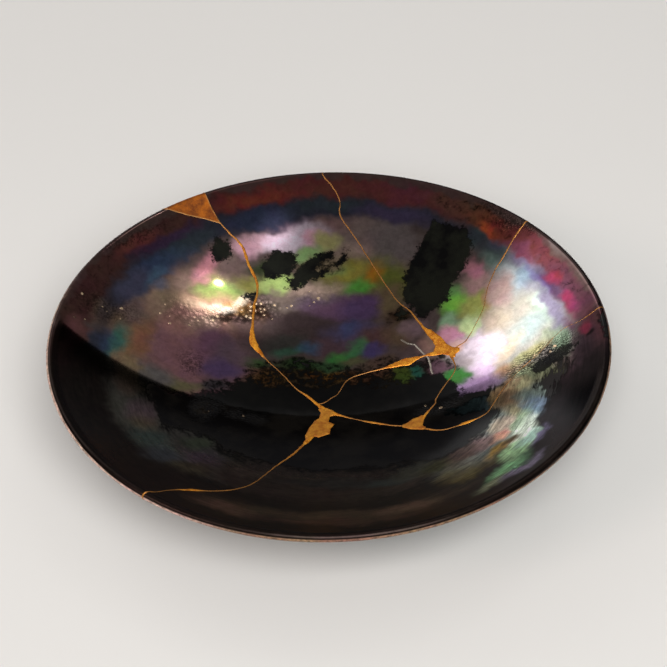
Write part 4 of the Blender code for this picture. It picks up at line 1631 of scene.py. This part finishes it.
@dataclass
class GoldSeams:
    """The raised lacquer lines and patches, inside the dish, over its lip and underneath.

    They are a skin lifted from the uncut dish's own surface: proud of the glaze along the seams,
    and dipping below it just beyond their edges.
    """

    cracks: CrackNetwork
    section: DishSection
    finish: GoldPowder = GoldPowder()
    height: float = 0.34
    under_height: float = 0.16
    sides: Point = (-0.6, 0.4)  # sides of the wall between which the height changes
    shoulder: float = 0.26
    sink: float = 0.34
    skin: float = 0.25
    margin: float = 0.4
    spare: float = 0.5  # more margin before the skin is subdivided
    slope: float = 1.3  # how steeply it dips beyond its edge
    fray: float = 0.14
    fray_sizes: Point = (1.5, 0.7)
    fray_calm: Knot = (0.35, 0.3, 1.2)  # the fray's share at an edge, and depths over which it grows
    lump: float = 0.07
    lump_sizes: Point = (2.6, 1.0)
    lean: float = 0.68  # a fine joint took less lacquer than it could hold: the share it took
    full: Point = (0.7, 2.4)  # joint widths between which that share rises to the whole
    thinnest: float = 0.3
    dusting: Point = (0.6, 1.9)  # joint widths over which the gold gets fully dusted
    stretch_reach: float = 4.0  # how far from a stretch or a patch's middle its depth is worked out
    patch_reach: float = 16.0
    divide: float = -0.2  # the side at which the inside piece meets the outside one
    crease: float = 60.0  # degrees

    def depth(self, points: np.ndarray) -> tuple[np.ndarray, np.ndarray]:
        """Where each point lies on the plan, seen from the gold.

        Args:
            points: Surface points in millimetres.

        Returns:
            How far each lies inside the gold's outline, negative outside it, and how wide its joint is there.
        """
        x, y = points[:, 0], points[:, 1]
        deep = np.full(len(x), -9.0)
        wide = np.zeros(len(x))
        reach = self.stretch_reach
        for line in self.cracks.lines.values():
            for start, end in zip(line, line[1:]):
                low, high = np.minimum(start, end) - reach, np.maximum(start, end) + reach
                near = np.flatnonzero((x > low[0]) & (x < high[0]) & (y > low[1]) & (y < high[1]))
                if not len(near):
                    continue
                share, away = beside(x[near], y[near], start, end)
                width = start[2] + (end[2] - start[2]) * share
                drawn = width * (self.lean + (1 - self.lean) * smoothstep(*self.full, width))
                inside = np.maximum(self.thinnest, drawn) / 2 - away
                wide[near] = np.where(inside > deep[near], width, wide[near])
                deep[near] = np.maximum(deep[near], inside)
        for name, outline in PATCHES.items():
            middle = np.array(outline).mean(axis=0)
            near = np.flatnonzero((np.abs(x - middle[0]) < self.patch_reach)
                                  & (np.abs(y - middle[1]) < self.patch_reach))
            inside = -signed_distance(x[near], y[near], outline)
            wide[near] = np.where(inside > deep[near], DUSTED[name], wide[near])
            deep[near] = np.maximum(deep[near], inside)
        return deep, wide

    def trim(self, bm: bmesh.types.BMesh, reach: float) -> None:
        """Delete the faces that lie wholly farther than reach outside the gold's outline.

        Args:
            bm: The skin.
            reach: Millimetres.
        """
        for vert, deep in zip(bm.verts, self.depth(bmesh_points(bm))[0] > -reach):
            vert.tag = bool(deep)
        far = [face for face in bm.faces if not any(vert.tag for vert in face.verts)]
        bmesh.ops.delete(bm, geom=far, context="FACES")

    def lift(self, points: np.ndarray) -> np.ndarray:
        """How far the skin stands above the glaze.

        Args:
            points: Surface points in millimetres.

        Returns:
            Millimetres for each point, negative where it dips.
        """
        deep = self.depth(points)[0]
        coarse, fine = self.fray_sizes
        ragged = soft_noise(points, coarse, 5.0) + 0.5 * soft_noise(points, fine, 15.0)
        least, low, high = self.fray_calm
        deep = deep + self.fray * ragged * (least + (1 - least) * smoothstep(low, high, deep + low))
        side = self.section.inwardness(points)
        full = self.under_height + (self.height - self.under_height) * smoothstep(*self.sides, side)
        coarse, fine = self.lump_sizes
        lumps = self.lump * soft_noise(points, coarse, 25.0)
        lumps = lumps + 0.4 * self.lump * soft_noise(points, fine, 35.0)
        proud = (full + lumps) * (1 - np.exp(-np.maximum(deep, 0) / self.shoulder))
        return np.where(deep > 0, proud, np.maximum(self.slope * deep, -self.sink))

    def lifted(self, whole: bpy.types.Object) -> bmesh.types.BMesh:
        """The skin, trimmed to the gold and lifted.

        Args:
            whole: The uncut dish, which is dropped.

        Returns:
            The skin, with its inside vertices tagged and how fully each is dusted.
        """
        bm = bmesh.new()
        bm.from_mesh(whole.data)
        drop(whole)
        self.trim(bm, self.margin + self.spare)
        bmesh.ops.subdivide_edges(bm, edges=bm.edges, cuts=1, use_grid_fill=True)
        self.trim(bm, self.margin)
        drop_loose(bm)
        bm.normal_update()
        points = bmesh_points(bm)
        normals = np.array([vert.normal[:] for vert in bm.verts])
        raised = points + normals * self.lift(points)[:, None]
        raised[:, 2] = np.maximum(raised[:, 2], 0.0)
        inner = self.section.inwardness(points) > self.divide
        dusted = smoothstep(*self.dusting, self.depth(points)[1])
        fullness = bm.verts.layers.float.new("fullness")
        for vert, place, tag, full in zip(bm.verts, raised * MM, inner, dusted):
            vert.co = place
            vert.tag = bool(tag)
            vert[fullness] = full
        return bm

    def build(self, whole: bpy.types.Object) -> None:
        """Lift the skin from the uncut dish and make it the two gold pieces.

        Args:
            whole: The uncut dish, which is dropped.
        """
        bm = self.lifted(whole)
        material = self.finish.make()
        for name, inside in (("gold_seams_inside", True), ("gold_seams_outside", False)):
            part = bm.copy()
            other = [face for face, twin in zip(part.faces, bm.faces)
                     if any(vert.tag for vert in twin.verts) != inside]
            bmesh.ops.delete(part, geom=other, context="FACES")
            drop_loose(part)
            bmesh.ops.solidify(part, geom=part.faces, thickness=self.skin * MM)
            bmesh.ops.recalc_face_normals(part, faces=part.faces)
            bmesh.ops.triangulate(part, faces=part.faces)
            obj = new_object(name, mesh_of(part, name))
            dress(obj, material)
            finish_mesh(obj, self.crease)
            stand_for(obj, "gold_seams")
        bm.free()


@dataclass
class RimFill:
    """The gold-dusted fill of the chip in the rim."""

    piece: bpy.types.Object
    finish: GoldPowder = GoldPowder("gold_powder_on_fill", gold="#B0600A", worn="#662E04", fullest=True,
                                    roughness=0.55, mottle=5.0)

    def build(self) -> None:
        """Dress the fill, which was cut with the sherds."""
        dress(self.piece, self.finish.make())
        stand_for(self.piece, "rim_chip_fill")


# ---------------------------------------------------------------- the studio

@dataclass(frozen=True)
class Softbox:
    """A flat lamp that faces the dish."""

    name: str
    bearing: Point  # degrees from +Y towards +X, and above the table
    distance: float  # metres
    size: Point  # metres
    glow: float  # radiance
    colour: str = "#FFFFFF"
    turn: float = 0.0  # degrees about its own axis
    round: bool = False
    fade: float = 0.0  # share of its half width over which it dims towards its edge

    def diffuse(self, lamp: bpy.types.AreaLight) -> None:
        """Dim the lamp smoothly towards its edges, as a diffusion cloth does.

        Args:
            lamp: The lamp.
        """
        recipe = Recipe(lamp)
        add = recipe.add
        place = add("NewGeometry").outputs["Parametric"]
        centred = add("VectorMath", place, (0.5, 0.5, 0.0), operation="SUBTRACT")
        doubled = add("VectorMath", centred, (2.0, 2.0, 0.0), operation="MULTIPLY")
        out = add("VectorMath", doubled, operation="ABSOLUTE")
        if self.round:
            shares = [add("VectorMath", out, operation="LENGTH")]
        else:
            shares = add("SeparateXYZ", out).outputs[:2]
        total, *more = [add("MapRange", share, 1 - self.fade, 1.0, 1.0, 0.0,
                            interpolation_type="SMOOTHSTEP") for share in shares]
        for dimmed in more:
            total = add("Math", total, dimmed, operation="MULTIPLY")
        recipe.finish(add("Emission", at={"Strength": total}), "OutputLight")

    def light(self) -> None:
        """Hang the lamp."""
        lamp = bpy.data.lights.new(self.name, "AREA")
        lamp.shape = "ELLIPSE" if self.round else "RECTANGLE"
        lamp.size, lamp.size_y = self.size
        area = self.size[0] * self.size[1] * (math.pi / 4 if self.round else 1.0)
        lamp.energy = self.glow * area * math.pi
        lamp.color = linear(self.colour)[:3]
        if self.fade:
            self.diffuse(lamp)
        side, rise = (math.radians(angle) for angle in self.bearing)
        away = Vector((math.sin(side) * math.cos(rise), math.cos(side) * math.cos(rise), math.sin(rise)))
        obj = new_object(self.name, lamp)
        obj.location = away * self.distance
        obj.rotation_mode = "QUATERNION"
        spin = Quaternion((0.0, 0.0, 1.0), math.radians(self.turn))
        obj.rotation_quaternion = (-away).to_track_quat("-Z", "Y") @ spin
        obj.visible_camera = False


@dataclass(frozen=True)
class Studio:
    """Floor, lamps and camera. Lengths here are in metres."""

    backdrop: str = "#D8D6D2"
    room: float = 0.008  # the dim room's grey
    floor_reach: float = 9.0
    floor_cells: int = 24
    paper: tuple[str, str] = ("#D9D7D3", "#DEDCD8")
    paper_scale: float = 3.0  # clouds of its tint, a third of a metre wide
    paper_roughness: float = 0.9
    turn_up: tuple[float, float, float] = (1.8, 6.0, 0.7)  # where the far paper lights up, and how far
    panel_glow: float = 0.26
    panel_size: Point = (6.8, 4.64)
    panel_place: tuple[float, float, float] = (0.0, 1.42, 2.6)
    camera_rise: float = 39.992  # degrees above the table
    camera_roll: float = -1.446  # degrees
    camera_view: float = 20.0  # degrees across
    camera_away: float = 0.738991
    target: tuple[float, float, float] = (0.002036, 0.0, 0.039523)
    softboxes: tuple[Softbox, ...] = (
        Softbox("window_core", (-35.0, 40.0), 2.2, (1.25, 0.78), 1.4, turn=24.0, fade=0.9),
        Softbox("window_veil", (-36.0, 40.0), 2.3, (2.1, 1.5), 0.5, turn=24.0, fade=0.85),
        Softbox("window_top", (-54.0, 47.0), 2.2, (0.8, 0.6), 0.9, turn=30.0, fade=0.9),
        Softbox("lamp_core", (39.9, 63.4), 2.1, (0.07, 0.07), 26.0, round=True, fade=0.8),
        Softbox("lamp_glow", (40.4, 63.6), 2.12, (0.3, 0.24), 1.2, round=True, fade=0.95),
        Softbox("lamp_halo", (31.5, 59.8), 2.15, (0.84, 0.54), 2.0, round=True, fade=0.95),
        Softbox("far_halo", (58.0, 79.6), 2.15, (0.56, 0.34), 0.62, "#FFEAF4", -50.0, round=True, fade=0.95),
        Softbox("lamp_shade", (33.0, 68.0), 2.2, (1.0, 0.85), 0.2, round=True, fade=0.6),
        Softbox("lamp_spill", (33.0, 68.0), 2.3, (1.6, 1.3), 0.18, round=True, fade=0.6),
        Softbox("right_veil", (-38.0, 24.0), 2.6, (0.9, 0.9), 0.3, fade=0.9),
        Softbox("side_low", (-26.0, 20.0), 2.9, (0.95, 1.0), 0.5, "#FFEEE8", fade=0.85),
        Softbox("low_left", (-13.4, 12.2), 3.0, (0.6, 1.4), 1.25, turn=-25.0, fade=0.75),
        Softbox("low_back", (5.0, 12.5), 3.2, (4.2, 2.1), 0.08, "#F4F4FF", fade=0.5),
        Softbox("front_key", (172.0, 46.0), 3.2, (3.2, 2.4), 8.2, fade=0.4),
        Softbox("side_fill", (-118.0, 34.0), 2.8, (0.9, 0.7), 7.0, "#FFE9E2"),
    )

    def ceiling(self) -> None:
        """A large dim panel overhead; its straight rear edge ends the bright half of the sheen."""
        lamp = bpy.data.lights.new("overhead_panel", "AREA")
        lamp.shape = "RECTANGLE"
        lamp.size, lamp.size_y = self.panel_size
        lamp.energy = self.panel_glow * lamp.size * lamp.size_y * math.pi
        obj = new_object("overhead_panel", lamp)
        obj.location = self.panel_place
        obj.visible_camera = False

    def floor(self) -> None:
        """A wide sheet of pale matt paper."""
        bm = bmesh.new()
        bmesh.ops.create_grid(bm, x_segments=self.floor_cells, y_segments=self.floor_cells,
                              size=self.floor_reach)
        obj = new_object("paper_floor", mesh_of(bm, "paper_floor"))
        recipe = Recipe(bpy.data.materials.new("matt_paper"))
        add = recipe.add
        place = add("TexCoord").outputs["Object"]
        fibre = add("TexNoise", at={"Vector": place, "Scale": self.paper_scale})
        dark, light = self.paper
        tint = add("Mix", at={0: fibre, 6: linear(dark), 7: linear(light)}, data_type="RGBA")
        # Far off, where the lamps no longer reach, the paper turns up into the lit backdrop.
        reach = add("VectorMath", place, operation="LENGTH")
        start, end, full = self.turn_up
        lift = add("MapRange", reach, start, end, 0.0, full, interpolation_type="SMOOTHSTEP")
        dress(obj, recipe.finish(add("BsdfPrincipled", at={
            "Base Color": tint, "Roughness": self.paper_roughness, "Specular IOR Level": 0.2,
            "Emission Color": linear(self.backdrop), "Emission Strength": lift,
        })))

    def camera(self) -> None:
        """A long lens, about 40 degrees above the table."""
        elevation, roll = math.radians(self.camera_rise), math.radians(self.camera_roll)
        forward = Vector((0.0, math.cos(elevation), -math.sin(elevation)))
        right = Vector((1.0, 0.0, 0.0))
        up = right.cross(forward)
        across = math.cos(roll) * right + math.sin(roll) * up
        above = math.cos(roll) * up - math.sin(roll) * right
        data = bpy.data.cameras.new("camera")
        data.sensor_width = 36.0
        data.lens = data.sensor_width / 2 / math.tan(math.radians(self.camera_view / 2))
        obj = new_object("camera", data)
        place = Matrix((across, above, -forward)).transposed().to_4x4()
        place.translation = Vector(self.target) - forward * self.camera_away
        obj.matrix_world = place
        bpy.context.scene.camera = obj

    def world(self) -> None:
        """A dim room behind a pale backdrop, which only the camera sees."""
        recipe = Recipe(bpy.data.worlds.new("room"))
        dim = recipe.add("Background", at={"Color": (self.room, self.room, self.room, 1.0)})
        pale = recipe.add("Background", at={"Color": linear(self.backdrop)})
        seen = recipe.add("LightPath").outputs["Is Camera Ray"]
        room = recipe.add("MixShader", seen, dim, pale)
        bpy.context.scene.world = recipe.finish(room, "OutputWorld")

    def build(self) -> None:
        """Set everything up."""
        self.floor()
        self.camera()
        self.world()
        self.ceiling()
        for softbox in self.softboxes:
            softbox.light()
        bpy.context.scene.view_settings.view_transform = "Standard"


def main() -> None:
    """Build the dish's pieces in order and report each."""
    logging.basicConfig(level=logging.INFO, format="%(name)s: %(message)s")
    section = DishSection()
    Studio().build()
    cracks = CrackNetwork()
    sherds = Sherds(section, cracks, GlazeRelief(section), LustreMap(section))
    whole = sherds.build()
    RimFill(sherds.pieces["rim_chip_fill"]).build()
    GoldSeams(cracks, section).build(whole)
    for obj in bpy.data.objects:
        if obj.type == "MESH" and not obj.hide_render:
            LOG.info("%s: %d faces", obj.name, len(obj.data.polygons))


if __name__ == "__main__":
    main()
